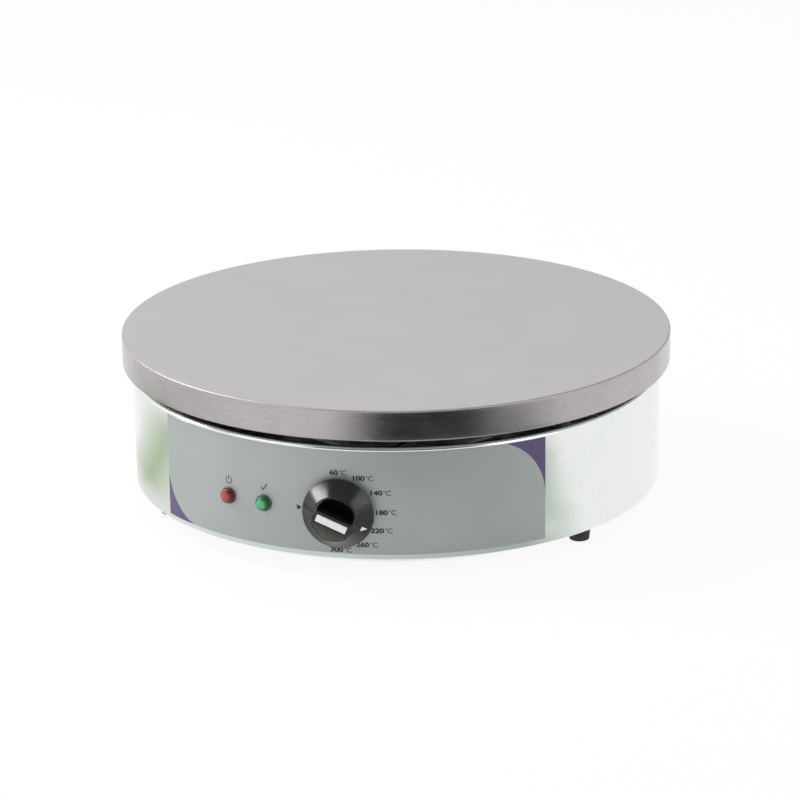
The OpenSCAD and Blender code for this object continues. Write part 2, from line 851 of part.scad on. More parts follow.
module hanger_studs() {
    low = z_shield - nut_m6_t - 2;
    color("silver")
    round_drum(clamp_angles)
        translate([0, -hanger_r, low]) cylinder(d = hanger_d, h = z_web + hole_depth - 0.5 - low);
}

module hanger_nuts() {
    color("silver")
    for (z = [z_clamp - nut_m6_t, z_shield - nut_m6_t])
        round_drum(clamp_angles)
            translate([0, -hanger_r, z]) hex_nut(10, nut_m6_t, hanger_d / 2 + fit);
}

module insulation_disc() {
    color("snow")
    difference() {
        translate([0, 0, z_insulation]) cylinder(r = shield_r - sheet_t - 0.3, h = insulation_t, $fn = 192);
        round_drum(clamp_angles)
            translate([0, -hanger_r, z_insulation - 1]) cylinder(d = hanger_d + 1, h = insulation_t + 2);
        leg_places() translate([0, 0, z_insulation - 1]) cylinder(r = bush_r + 0.3, h = insulation_t + 2);
        translate([capillary_x, -bulb_y, z_insulation - 1])
            cylinder(r = 3, h = insulation_t + 2);
    }
}

module heat_shield() {
    color("gray")
    difference() {
        rotate_extrude($fn = 192) {
            translate([0, z_shield]) square([shield_r, sheet_t]);
            translate([shield_r - sheet_t, z_shield]) square([sheet_t, shield_h]);
        }
        round_drum(clamp_angles)
            translate([0, -hanger_r, z_shield - 1]) cylinder(d = hanger_d + 2 * fit, h = sheet_t + 2);
        leg_places() translate([0, 0, z_shield - 1]) cylinder(r = bush_r + fit, h = sheet_t + 2);
        translate([capillary_x, -bulb_y, z_shield - 1]) cylinder(r = 3, h = sheet_t + 2);
    }
}

module limit_thermostat() {
    color("black")
    translate([0, bulb_y, z_shield - seat]) {
        translate([0, 0, -1]) cylinder(d = 24, h = 1);
        translate([0, 0, -9]) cylinder(d = 16, h = 8 + eps);
        for (s = [-1, 1]) translate([s * 5 - 0.4, -3.15, -15]) cube([0.8, 6.3, 6 + eps]);
    }
}

// ---- wiring and cable entry ----

module terminal_places() {
    for (i = [-1 : 1], s = [-1, 1])
        translate([i * pole_pitch, block_y + s * block_w / 4, 0]) children();
}

module terminal_block() {
    color("ivory")
    difference() {
        union() {
            translate([-block_len / 2, block_y - block_w / 2, z_pan_top])
                cube([block_len, block_w, block_h * 0.4]);
            for (i = [-1 : 1])
                translate([i * pole_pitch - 6.5, block_y - block_w / 2, z_pan_top])
                    cube([13, block_w, block_h]);
        }
        // screw wells and wire holes
        terminal_places() translate([0, 0, z_pan_top + block_h * 0.45]) cylinder(d = 6, h = block_h);
        for (i = [-1 : 1])
            translate([i * pole_pitch, block_y - block_w, z_pan_top + block_h * 0.45])
                rotate([-90, 0, 0]) cylinder(d = 4.5, h = 2 * block_w);
        for (s = [-1, 1])
            translate([s * pole_pitch / 2, block_y, z_pan_top - 1]) cylinder(d = m4 + 2 * fit, h = block_h);
    }
}

module terminal_screws() {
    color("goldenrod")
    terminal_places() translate([0, 0, z_pan_top + block_h * 0.62]) rotate([180, 0, 0])
        difference() {
            translate([0, 0, -3]) cylinder(d = 5.8, h = 3);
            translate([-3, -0.5, -3 - eps]) cube([6, 1, 1]);
        }
    for (s = [-1, 1])
        translate([s * pole_pitch / 2, block_y, z_ring + pan_swage - sheet_t])
            screw(m4 - 1.2, 6, 2, block_h * 0.35);
}

module earth_stud() {
    color("silver")
    translate([earth_x, block_y, z_pan_top - sheet_t - nut_m5_t - 1]) cylinder(d = m5, h = 22);
}

module earth_nuts() {
    color("goldenrod")
    translate([earth_x, block_y, 0])
        for (z = [z_pan_top - sheet_t - nut_m5_t, z_pan_top, z_pan_top + nut_m5_t + 1])
            translate([0, 0, z]) hex_nut(8, nut_m5_t, m5 / 2 + fit);
}

// The gland is drawn outwards from the wall, at the back
module on_gland_axis() {
    on_control_axis(180, z_gland) translate([0, 0, body_r + seat]) children();
}

module gland_body() {
    inner = -(gland_inner_len);
    color("dimgray")
    on_gland_axis() difference() {
        union() {
            cylinder(d = gland_af / cos(30), h = gland_flange_t, $fn = 6);
            translate([0, 0, inner]) cylinder(d = gland_thread_d, h = gland_inner_len + eps);
            translate([0, 0, gland_flange_t - eps]) cylinder(d = gland_neck_d, h = gland_neck_len);
        }
        translate([0, 0, inner - 1]) cylinder(d = cable_d + 1.4, h = 40);
        translate([0, 0, gland_flange_t + 0.5]) cylinder(d = gland_neck_d - 3.4, h = 40);
    }
}

module gland_seal() {
    color("black")
    on_gland_axis() translate([0, 0, gland_flange_t + 0.5 + seat])
        tube((gland_neck_d - 3.4) / 2 - fit, cable_d / 2, 9);
}

module gland_cap() {
    low = gland_flange_t + 0.6;
    color("dimgray")
    on_gland_axis() difference() {
        union() {
            translate([0, 0, low]) cylinder(d = gland_af / cos(30), h = 10, $fn = 6);
            translate([0, 0, low + 10 - eps])
                cylinder(d1 = gland_af - 1, d2 = cable_d + 5, h = gland_cap_len - 10);
        }
        translate([0, 0, low - eps]) cylinder(d = gland_neck_d + 2 * fit, h = gland_neck_len + 0.2);
        translate([0, 0, low]) cylinder(d = gland_neck_d - 3.4, h = 10.2);
        translate([0, 0, low]) cylinder(d = cable_d + 1.4, h = gland_cap_len + 1);
    }
}

module gland_locknut() {
    face = sqrt(wall_r * wall_r - pow(gland_af / 2 / cos(30), 2)) - seat;
    color("dimgray")
    on_control_axis(180, z_gland) translate([0, 0, face - gland_nut_t])
        hex_nut(gland_af, gland_nut_t, gland_thread_d / 2 + fit);
}

griddle_plate();
plate_studs();
plate_stud_nuts();
support_brackets();
drum_wall();
floor_ring();
base_pan();
base_screws();
feet();
foot_screws();
foot_nuts();
control_panel();
power_lamp_lens();
ready_lamp_lens();
lamp_housings();
lamp_nuts();
thermostat_body();
shaft_bush();
thermostat_screws();
thermostat_shaft();
thermostat_knob();
knob_inlay();
knob_pointer();
knob_spring();
capillary_tube();
sensing_bulb();
bulb_clips();
clip_screws();
outer_element();
inner_element();
element_bushes();
clamp_bars();
hanger_studs();
hanger_nuts();
insulation_disc();
heat_shield();
limit_thermostat();
terminal_block();
terminal_screws();
earth_stud();
earth_nuts();
gland_body();
gland_seal();
gland_cap();
gland_locknut();
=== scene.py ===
from math import atan2, cos, degrees, hypot, pi, radians, sin, sqrt, tan

import bmesh
import bpy
from mathutils import Matrix, Vector


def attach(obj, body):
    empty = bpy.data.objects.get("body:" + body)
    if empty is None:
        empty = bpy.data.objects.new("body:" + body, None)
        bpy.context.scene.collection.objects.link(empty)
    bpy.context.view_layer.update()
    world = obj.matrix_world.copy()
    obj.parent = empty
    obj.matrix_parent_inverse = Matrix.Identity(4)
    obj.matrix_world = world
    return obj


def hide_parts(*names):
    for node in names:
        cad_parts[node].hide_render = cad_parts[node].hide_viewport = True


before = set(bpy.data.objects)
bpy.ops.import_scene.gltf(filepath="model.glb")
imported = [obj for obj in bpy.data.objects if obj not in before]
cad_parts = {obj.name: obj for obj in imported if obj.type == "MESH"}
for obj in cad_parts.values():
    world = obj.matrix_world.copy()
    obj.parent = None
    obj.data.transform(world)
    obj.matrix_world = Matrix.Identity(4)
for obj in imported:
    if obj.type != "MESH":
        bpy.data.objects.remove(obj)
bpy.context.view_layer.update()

# ---- sizes, in millimetres, as the crepe maker is built ----

MM = 0.001

# griddle plate: its radii, and heights over the table
PLATE_R, RECESS_R, EDGE_R = 200.0, 186.0, 1.2
Z_PLATE, Z_WEB, Z_TOP = 103.0, 111.0, 125.0
BOSS_R, Z_BOSS, BOSS_BORE_R = 11.0, 104.0, 4.2

# drum, from its lift over the table to its rolled rim
BODY_R, SHEET = 192.5, 1.2
WALL_R = BODY_R - SHEET
LIFT, Z_RIM = 14.0, 96.0
RIM_R, RIM_LEG, CORNER_R, FLANGE_W = 3.0, 4.0, 2.0, 9.0
Z_CONTROL, Z_GLAND = 49.3, 40.0
CONTROL_HOLE_R, GLAND_HOLE_R = 5.1, 10.1

# printed film on the drum's face; angles are in degrees from the front, towards +X
FACE_R, FILM_T = 192.95, 0.4
FILM_LOW, FILM_HIGH = 18.6, 93.2
FILM_HALF, FILM_TURN = radians(44.5), -0.5
SCREW_X, SCREW_HOLE_R = 14.0, 2.2
PRINT_LIFT, PRINT_T = 0.03, 0.02
FIGURE_H, BOLD, LIGHT = 3.7, 0.042, 0.012

# knob and lamps, drawn along +Z from the film; the skirt's ends are radius and height
POINTER_ANGLE = 22.5
KNOB_R, KNOB_OUT = 25.25, 25.8
SKIRT_EDGE, SKIRT_NECK, FLARE_R = (24.75, 5.1), (16.0, 16.0), 150.0
SKIRT_SLOPE, HUB_TAPER = 0.803, 0.155
GRIP_HALF, SCOOP_HALF, SCOOP_ROUND = 5.0, 13.0, 8.0
SCOOP_FLOOR, SCOOP_SLOPE = 9.5, radians(42)
INLAY_X, INLAY_Y, Z_INLAY, INLAY_PLAY = 11.25, 2.6, 25.0, 0.05
POWER_ANGLE, READY_ANGLE = -25.4, -16.6
LENS_R, LENS_OUT, DOME_R = 6.0, 5.8, 7.2

# three feet and three studs, the same way round
SUPPORTS = (60, 180, 300)
STUD_R, FOOT_R = 159.0, 173.0
STUD_LOW, STUD_HIGH, STUD_NUTS = 48.7, 112.0, (51.7, 60.2, 97.5)

# camera: degrees down, round towards +X and on its side, metres away, lens,
# and how far right and below the plate's middle it looks
TILT, TURN, ROLL = radians(18.43), radians(12.0), radians(0.613)
CAMERA_AWAY, CAMERA_LENS, LOOK_RIGHT, LOOK_DOWN = 2.5, 153.9, 2.90, 55.51


def linear(r, g, b):
    """A colour as a paint chart writes it, 0 to 255, turned into light."""
    return tuple(
        (c / 255) / 12.92 if c <= 10.3 else ((c / 255 + 0.055) / 1.055) ** 2.4 for c in (r, g, b)
    ) + (1.0,)


# ---- finishes ----


class Value:
    """A number or a vector in a finish, so that sums on it are written as sums."""

    def __init__(self, finish, socket):
        self.finish, self.socket = finish, socket

    def math(self, operation, *values):
        return self.finish.add(
            "ShaderNodeMath", {"operation": operation}, dict(enumerate(values))
        )

    def __add__(self, other):
        return self.math("ADD", self, other)

    def __sub__(self, other):
        return self.math("SUBTRACT", self, other)

    def __rsub__(self, other):
        return self.math("SUBTRACT", other, self)

    def __mul__(self, other):
        return self.math("MULTIPLY", self, other)

    __radd__ = __add__
    __rmul__ = __mul__


class Finish:
    """One material, or the studio's world, built from its nodes."""

    def __init__(self, name, world=None):
        self.owner = world or bpy.data.materials.new(name)
        self.owner.use_nodes = True
        self.tree = self.owner.node_tree
        self.tree.nodes.clear()

    def add(self, kind, settings=None, values=None, output=0):
        node = self.tree.nodes.new(kind)
        for key, setting in (settings or {}).items():
            setattr(node, key, setting)
        for key, value in (values or {}).items():
            if isinstance(value, Value):
                self.tree.links.new(value.socket, node.inputs[key])
            else:
                node.inputs[key].default_value = value
        return Value(self, node.outputs[output])

    def end(self, shader, kind="ShaderNodeOutputMaterial"):
        node = self.tree.nodes.new(kind)
        self.tree.links.new(shader.socket, node.inputs["Surface"])
        return self.owner

    def place(self, stretch=(1, 1, 1)):
        """Object coordinates in millimetres, squeezed along each axis."""
        at = self.add("ShaderNodeTexCoord", output="Object")
        return self.add(
            "ShaderNodeVectorMath",
            {"operation": "MULTIPLY"},
            {0: at, 1: tuple(1000 * s for s in stretch)},
        )

    def from_axis(self):
        """How far a point lies from the middle line of the drum, in millimetres."""
        flat = self.place((1, 1, 0))
        return self.add("ShaderNodeVectorMath", {"operation": "LENGTH"}, {0: flat}, "Value")

    def axes(self, place):
        """The three numbers of a place or direction."""
        node = self.add("ShaderNodeSeparateXYZ", None, {0: place}).socket.node
        return [Value(self, out) for out in node.outputs]

    def noise(self, place, scale, detail=3.0, rough=0.55):
        return self.add(
            "ShaderNodeTexNoise",
            {"noise_dimensions": "3D"},
            {"Vector": place, "Scale": scale, "Detail": detail, "Roughness": rough},
        )

    def lines(self, along, scale, detail=3.0, rough=0.6):
        """Fine lines whose only change is along one measure."""
        return self.add(
            "ShaderNodeTexNoise",
            {"noise_dimensions": "1D"},
            {"W": along, "Scale": scale, "Detail": detail, "Roughness": rough},
        )

    def window(self, value, low, high):
        """0 below low, 1 above high, and a straight slope between."""
        return self.add(
            "ShaderNodeMapRange",
            {"clamp": True},
            {"Value": value, "From Min": low, "From Max": high, "To Min": 0.0, "To Max": 1.0},
        )

    def blend(self, factor, first, second):
        return self.add(
            "ShaderNodeMix", {"data_type": "RGBA"}, {0: factor, 6: first, 7: second}, output=2
        )

    def bump(self, height):
        """Height in millimetres."""
        return self.add(
            "ShaderNodeBump", None, {"Strength": 1.0, "Distance": MM, "Height": height}
        )

    def surface(self, **values):
        shader = self.add(
            "ShaderNodeBsdfPrincipled",
            None,
            {key.replace("_", " "): value for key, value in values.items()},
        )
        return self.end(shader)


def machined_top():
    """Cast iron turned flat, with faint rings and the soft mottling of a seasoned plate."""
    f = Finish("machined_top")
    place, radius = f.place(), f.from_axis()
    rings = f.lines(radius, 1.1, 4.0)
    broad = f.lines(radius, 0.06, 2.0)
    stain = f.noise(place, 0.018, 4.0, 0.6)
    grain = f.noise(place, 0.9, 3.0)
    pores = f.window(f.noise(place, 0.55, 2.0), 0.25, 0.18)
    tone = f.window(stain * 0.5 + broad * 0.2 + rings * 0.3, 0.3, 0.7)
    colour = f.blend(tone, linear(198, 195, 198), linear(206, 203, 206))
    colour = f.blend(pores * 0.3, colour, linear(158, 155, 156))
    return f.surface(
        Base_Color=colour,
        Metallic=0.85,
        Roughness=0.47 + 0.06 * stain + 0.04 * (rings - 0.5),
        Normal=f.bump(rings * 0.003 + grain * 0.003 - pores * 0.006),
    )


def machined_rim():
    """The plate's side as the lathe leaves it: fine level lines all the way round."""
    f = Finish("machined_rim")
    place = f.place()
    height = f.axes(place)[2]
    fine = f.lines(height, 3.4, 3.0, 0.7)
    scratch = f.noise(f.place((0.12, 0.12, 1.6)), 1.0, 4.0, 0.65)
    cloud = f.noise(place, 0.03, 3.0)
    tone = f.window(fine * 0.2 + scratch * 0.5 + cloud * 0.3, 0.36, 0.64)
    colour = f.blend(tone, linear(170, 165, 168), linear(192, 187, 190))
    return f.surface(
        Base_Color=colour,
        Metallic=1.0,
        Roughness=0.15 + 0.1 * scratch + 0.06 * cloud,
        Normal=f.bump(fine * 0.004 + scratch * 0.02),
    )


def polished_steel():
    """Bright stainless sheet, with a very faint level grain and a few soft smudges."""
    f = Finish("polished_steel")
    grain = f.noise(f.place((0.03, 0.03, 2.2)), 1.0, 3.0)
    smudge = f.window(f.noise(f.place(), 0.03, 4.0, 0.65), 0.48, 0.72)
    ripple = f.noise(f.place((0.012, 0.012, 0.006)), 1.0, 1.0)
    colour = f.blend(grain, linear(232, 235, 231), linear(240, 243, 241))
    colour = f.blend(smudge * 0.25, colour, linear(214, 219, 214))
    return f.surface(
        Base_Color=colour,
        Metallic=1.0,
        Roughness=0.11 + 0.05 * grain + 0.08 * smudge,
        Normal=f.bump(grain * 0.002 + ripple * 0.25),
    )


def metal(name, dark, light, rough, grain_scale=0.5, metallic=1.0):
    """A plain sheet, bar or fastener metal: colour, shine and surface all vary a little."""
    f = Finish(name)
    place = f.place()
    cloud = f.noise(place, 0.08, 3.0)
    grain = f.noise(place, grain_scale, 4.0, 0.6)
    tone = f.window(cloud * 0.5 + grain * 0.5, 0.35, 0.65)
    return f.surface(
        Base_Color=f.blend(tone, linear(*dark), linear(*light)),
        Metallic=metallic,
        Roughness=rough + 0.12 * (cloud - 0.5) + 0.05 * (grain - 0.5),
        Normal=f.bump(grain * 0.01),
    )


def galvanised():
    """Zinc-coated sheet with its crystal pattern."""
    f = Finish("galvanised_sheet")
    place = f.place()
    cells = f.add(
        "ShaderNodeTexVoronoi",
        {"feature": "F1"},
        {"Vector": place, "Scale": 0.14, "Randomness": 1.0},
        output="Color",
    )
    tone = f.add("ShaderNodeSeparateColor", None, {0: cells})
    grain = f.noise(place, 0.8, 3.0)
    colour = f.blend(tone * 0.7 + grain * 0.3, linear(150, 154, 157), linear(196, 199, 200))
    return f.surface(
        Base_Color=colour,
        Metallic=1.0,
        Roughness=0.3 + 0.16 * tone,
        Normal=f.bump(grain * 0.006),
    )


def moulding(name, dark, light, rough, height=0.012, scale=1.2, shine=0.5):
    """Moulded or pressed stuff: rubber, phenolic, nylon, ceramic, board."""
    f = Finish(name)
    place = f.place()
    cloud = f.noise(place, 0.06, 3.0)
    grain = f.noise(place, scale, 4.0, 0.6)
    tone = f.window(cloud * 0.6 + grain * 0.4, 0.3, 0.7)
    return f.surface(
        Base_Color=f.blend(tone, linear(*dark), linear(*light)),
        Roughness=rough + 0.14 * (cloud - 0.5) + 0.06 * (grain - 0.5),
        Specular_IOR_Level=shine,
        Normal=f.bump(grain * height),
    )


def printed_film():
    """Silver-grey printed film with a faint orange peel."""
    f = Finish("printed_film")
    place = f.place()
    peel = f.noise(place, 0.7, 2.0)
    speck = f.noise(place, 3.0, 1.0)
    haze = f.noise(place, 0.02, 3.0)
    tone = f.window(haze * 0.7 + speck * 0.3, 0.35, 0.65)
    return f.surface(
        Base_Color=f.blend(tone, linear(174, 178, 177), linear(180, 184, 183)),
        Metallic=0.6,
        Roughness=0.46 + 0.1 * haze,
        Normal=f.bump(peel * 0.008),
    )


def print_ink(name, colour, rough=0.45):
    """Screen print, which lies a little thinner in places."""
    f = Finish(name)
    mottle = f.noise(f.place(), 0.9, 3.0)
    thin = [c + 9 for c in colour]
    return f.surface(
        Base_Color=f.blend(mottle, linear(*colour), linear(*thin)),
        Roughness=rough + 0.08 * mottle,
        Normal=f.bump(mottle * 0.004),
    )


def lens(name, painted_shade_colour, painted_glow_colour, angle):
    """Clear coloured plastic, with painted light: the middle of its dome is painted pale as if
    lit through, and the collar and the ring round the dome are painted dark.
    """
    f = Finish(name)
    place = f.place()
    flow = f.noise(place, 0.5, 3.0)
    x, y, z = f.axes(place)
    across, up = x * cos(radians(angle)) + y * sin(radians(angle)), z - Z_CONTROL
    middle = across.math("SQRT", across * across + up * up)
    # painted light and shade: pale towards the dome, dark at the collar, and dark again more than
    # about 3 mm from the lens's middle
    tone = f.window(f.from_axis() + 1.6 * (flow - 0.5), FACE_R + 1.2, FACE_R + 5.6)
    tone = tone * (1 - 0.85 * f.window(middle, 2.9, 4.1))
    return f.surface(
        Base_Color=f.blend(tone, linear(*painted_shade_colour), linear(*painted_glow_colour)),
        Roughness=0.24 + 0.08 * flow,
        Coat_Weight=0.35,
        Coat_Roughness=0.2,
        Normal=f.bump(flow * 0.01),
    )


def black_knob():
    """Black phenolic moulding with a satin skin and faint handling marks."""
    f = Finish("black_knob")
    place = f.place()
    skin = f.noise(place, 1.6, 4.0, 0.6)
    marks = f.window(f.noise(place, 0.1, 4.0, 0.6), 0.5, 0.8)
    colour = f.blend(marks * 0.6 + skin * 0.2, linear(24, 23, 22), linear(38, 37, 35))
    return f.surface(
        Base_Color=colour,
        Roughness=0.2 + 0.05 * marks + 0.03 * skin,
        Normal=f.bump(skin * 0.003),
    )


FINISHES = {
    "griddle_iron": machined_top(),
    "zinc_steel": metal("zinc_steel", (170, 174, 178), (208, 211, 212), 0.26),
    "galvanised_steel": galvanised(),
    "polished_stainless": polished_steel(),
    "foot_rubber": moulding("foot_rubber", (22, 22, 22), (34, 33, 33), 0.62, 0.03),
    "panel_film": printed_film(),
    "red_lens": lens("red_lens", (92, 20, 15), (180, 66, 54), POWER_ANGLE),
    "green_lens": lens("green_lens", (12, 84, 48), (86, 174, 128), READY_ANGLE),
    "white_nylon": moulding("white_nylon", (214, 212, 204), (226, 224, 218), 0.45),
    "ceramic_white": moulding("ceramic_white", (222, 218, 208), (235, 232, 224), 0.5, 0.02),
    "brass_part": metal("brass_part", (176, 142, 72), (206, 172, 98), 0.25),
    "black_phenolic": black_knob(),
    "white_print": moulding("white_print", (236, 238, 232), (244, 246, 241), 0.38, 0.006),
    "copper_line": metal("copper_line", (118, 86, 68), (146, 110, 88), 0.34),
    "element_sheath": metal("element_sheath", (84, 86, 84), (120, 121, 117), 0.42, 0.35),
    "insulation": moulding("insulation", (214, 209, 196), (236, 233, 224), 0.9, 0.25, 0.6),
    # the heat shield's sheet is dark grey: partly its own colour, partly painted shade for the
    # gap under the plate
    "dark_sheet": metal("dark_sheet", (58, 57, 56), (74, 73, 71), 0.5),
    "gland_nylon": moulding("gland_nylon", (38, 39, 41), (54, 55, 57), 0.5, 0.02),
}
RIM_FINISH = machined_rim()
# the rounds of the plate's edge: a darker copy of the plate's metal, painted shade that dims
# their highlight
EDGE_SHADE_FINISH = metal("edge_painted_shade", (164, 161, 164), (182, 179, 182), 0.5)
# the studs' zinc is painted whiter and less metallic than the nuts': painted light, so that they
# read bright in the shade under the plate
STUD_PAINTED_LIGHT_FINISH = metal("zinc_painted_bright", (222, 226, 223), (236, 239, 236), 0.35, metallic=0.3)
# painted shade inside the knob's scoops, and painted light on the lower scoop
SCOOP_SHADE_FINISH = moulding("scoop_painted_shade", (7, 7, 7), (12, 12, 11), 0.7, shine=0.12)
SCOOP_LIT_FINISH = moulding("scoop_painted_light", (120, 120, 114), (138, 138, 131), 0.5)
DIAL_INK = print_ink("dial_ink", (24, 24, 27))
UNIT_INK = print_ink("unit_ink", (52, 53, 57))
VIOLET_INK = print_ink("violet_ink", (87, 73, 113), 0.36)


# ---- modelling ----


def only(obj):
    """Selects one object and makes it active."""
    bpy.ops.object.select_all(action="DESELECT")
    obj.select_set(True)
    bpy.context.view_layer.objects.active = obj
    return obj


def start(name):
    """Names the piece that an operator has just made, and selects it alone."""
    obj = bpy.context.object
    obj.name = obj.data.name = name
    return only(obj)


def settle(obj):
    """Puts the object's place, turn and scale into its mesh."""
    only(obj)
    bpy.ops.object.transform_apply(location=True, rotation=True, scale=True)
    return obj


def modify(obj, kind, **settings):
    """Gives the piece a modifier and applies it."""
    only(obj)
    step = obj.modifiers.new(kind.lower(), kind)
    for key, setting in settings.items():
        setattr(step, key, setting)
    bpy.ops.object.modifier_apply(modifier=step.name)
    return obj


def tidy(obj, outwards=True):
    """Merges doubled corners, and turns the faces outwards."""
    only(obj)
    bpy.ops.object.mode_set(mode="EDIT")
    bpy.ops.mesh.select_all(action="SELECT")
    bpy.ops.mesh.remove_doubles(threshold=0.002 * MM)
    if outwards:
        bpy.ops.mesh.normals_make_consistent(inside=False)
    bpy.ops.object.mode_set(mode="OBJECT")
    return obj


def smooth(obj, angle=35):
    """Shades the rounds smooth and leaves edges sharper than the angle as they are."""
    only(obj)
    bpy.ops.object.shade_smooth_by_angle(angle=radians(angle))
    return obj


def pick(obj, chosen):
    """In edit mode, selects the corners for which chosen(corner) is true."""
    mesh = bmesh.from_edit_mesh(obj.data)
    for vertex in mesh.verts:
        vertex.select = chosen(vertex)
    mesh.select_flush(True)
    bmesh.update_edit_mesh(obj.data)


def pick_edges(obj, chosen):
    """In edit mode, selects the edges for which chosen(one end, other end) is true."""
    mesh = bmesh.from_edit_mesh(obj.data)
    for line in mesh.edges:
        line.select = chosen(*line.verts)
    bmesh.update_edit_mesh(obj.data)


def draw_out(scale, about, rise=0.0):
    """In edit mode, extrudes the selected edges up by rise and scales the new ones."""
    bpy.ops.mesh.extrude_edges_move(TRANSFORM_OT_translate={"value": (0, 0, rise)})
    bpy.ops.transform.resize(value=scale, center_override=about)


def turned(name, profile, sides, closed=False):
    """Turns a profile of (radius, height) round +Z: a round is drawn out ring by ring.

    A closed profile is a hollow ring; an open one gets a flat end at both sides.
    """
    radius, height = profile[0]
    bpy.ops.mesh.primitive_circle_add(
        vertices=sides, radius=radius * MM, fill_type="NOTHING" if closed else "NGON",
        location=(0, 0, height * MM),
    )
    obj = settle(start(name))
    bpy.ops.object.mode_set(mode="EDIT")
    bpy.ops.mesh.select_mode(type="EDGE")
    if closed:
        bpy.ops.mesh.select_all(action="SELECT")
    else:
        bpy.ops.mesh.select_all(action="DESELECT")
        bpy.ops.mesh.select_non_manifold()
    for next_radius, next_height in profile[1:] + (profile[:1] if closed else []):
        factor = next_radius / radius
        draw_out((factor, factor, 1), (0, 0, next_height * MM), (next_height - height) * MM)
        radius, height = next_radius, next_height
    if not closed:
        bpy.ops.mesh.edge_face_add()
    bpy.ops.object.mode_set(mode="OBJECT")
    return tidy(obj)


def arc(centre, radius, first, last, steps):
    """Points on an arc of the profile, by angle in degrees from +radius towards +height."""
    angles = [radians(first + (last - first) * i / steps) for i in range(steps + 1)]
    return [(centre[0] + radius * cos(a), centre[1] + radius * sin(a)) for a in angles]


def moved(obj, matrix):
    """Moves the mesh itself, so that every piece keeps its origin in the shared frame."""
    obj.data.transform(matrix)
    return obj


def again(obj, name, matrix):
    """A copy with its own mesh, moved by the matrix."""
    copy = obj.copy()
    copy.data = obj.data.copy()
    copy.name = copy.data.name = name
    bpy.context.collection.objects.link(copy)
    return moved(copy, matrix)


def shift(x, y, z):
    return Matrix.Translation((x * MM, y * MM, z * MM))


def spun(angle):
    """A turn about +Z in degrees; round the drum's middle, 0 is the front."""
    return Matrix.Rotation(radians(angle), 4, "Z")


def at_support(angle, radius, height=0.0):
    """From a piece drawn along +Z to one that stands at a support."""
    return spun(angle) @ shift(0, -radius, height)


def outward(angle, height, off):
    """From a piece drawn along +Z to one that points out of the drum at that angle."""
    return at_support(angle, off, height) @ Matrix.Rotation(radians(90), 4, "X")


def joined(name, *pieces):
    """Makes one piece of several."""
    only(pieces[0])
    for piece in pieces[1:]:
        piece.select_set(True)
    bpy.ops.object.join()
    return start(name)


def cut(obj, *cutters, operation="DIFFERENCE"):
    """Cuts the piece with each cutter in turn, and clears the cutters away."""
    for cutter in cutters:
        modify(obj, "BOOLEAN", operation=operation, object=cutter, solver="EXACT")
    for cutter in cutters:
        bpy.data.objects.remove(cutter, do_unlink=True)
    return obj


def bar(name, low, high):
    """A plain block between two corners, as a start or a cutter."""
    middle = [(a + b) / 2 * MM for a, b in zip(low, high)]
    bpy.ops.mesh.primitive_cube_add(size=1, location=middle)
    obj = start(name)
    obj.scale = [(b - a) * MM for a, b in zip(low, high)]
    return settle(obj)


def drilled(obj, face, sides, holes):
    """Drills a wall; a hole is its angle, its height, how far aside it lies, and its radius."""
    pins = []
    for index, (angle, height, aside, radius) in enumerate(holes):
        bpy.ops.mesh.primitive_cylinder_add(vertices=sides, radius=radius * MM, depth=16 * MM)
        place = outward(angle, height, face) @ shift(aside, 0, 0)
        pins.append(moved(start(f"hole_{index}"), place))
    return cut(obj, *pins)


def paint(obj, finish):
    """Gives the piece one finish, in place of the ones it had."""
    obj.data.materials.clear()
    obj.data.materials.append(finish)
    return obj


def done(obj, slot, body="base", nodes=(), finish=None, angle=35):
    """The last steps of a piece: smooth rounds, its finish, its body and its solids."""
    smooth(obj, angle)
    paint(obj, finish or FINISHES[slot])
    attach(obj, body)
    if nodes:
        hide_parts(*nodes)
    return obj


def fair_copy(node, bevel=0.0):
    """A merged copy of a solid, with its flat faces whole and its edges eased."""
    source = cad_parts[node]
    copy = source.copy()
    copy.data = source.data.copy()
    for key in list(copy.keys()):
        if key.startswith("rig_"):
            del copy[key]
    copy.parent = None
    copy.matrix_world = Matrix.Identity(4)
    copy.name = copy.data.name = node + "_finished"
    bpy.context.collection.objects.link(copy)
    tidy(copy, outwards=False)
    bpy.ops.object.mode_set(mode="EDIT")
    bpy.ops.mesh.select_all(action="SELECT")
    bpy.ops.mesh.dissolve_limited(angle_limit=radians(0.5))
    bpy.ops.object.mode_set(mode="OBJECT")
    if bevel:
        modify(
            copy, "BEVEL", width=bevel * MM, segments=2, limit_method="ANGLE",
            angle_limit=radians(30), use_clamp_overlap=True,
        )
    return copy


def hex_nut(name, across, height, hole):
    """A chamfered hexagon nut that stands on z = 0, with a threaded bore."""
    corner, flat = across / sqrt(3), across / 2
    bpy.ops.mesh.primitive_cylinder_add(
        vertices=6, radius=corner * MM, depth=height * MM, location=(0, 0, height / 2 * MM)
    )
    nut = settle(start(name))
    chamfer = [(flat * 0.95, -0.001), (corner * 1.02, (corner - flat * 0.96) * 0.5)]
    chamfer += [(radius, height - z) for radius, z in reversed(chamfer)]
    cut(nut, turned(name + "_chamfer", chamfer, 64), operation="INTERSECT")
    pitch, thread, mouth = hole * 0.3, hole + 0.3, hole + 0.35
    bore = [(mouth, -0.2)]
    for i in range(int(height / pitch)):
        bore += [(hole, (i + 0.3) * pitch), (thread, (i + 0.8) * pitch)]
    bore += [(mouth, height + 0.2)]
    cut(nut, turned(name + "_bore", bore, 32))
    return tidy(nut)


def threaded_rod(name, radius, low, high, pitch):
    """A stud with a cut thread and eased ends."""
    root, ease, tip = radius - 0.52 * pitch, radius - 0.15, radius - 0.9
    profile = [(tip, low), (ease, low + 0.7)]
    for i in range(int((high - low - 2) / pitch)):
        z = low + 1 + i * pitch
        profile += [(root, z), (radius, z + pitch * 0.42), (radius, z + pitch * 0.58)]
    profile += [(ease, high - 0.7), (tip, high)]
    return turned(name, profile, 28)


# ---- griddle plate ----


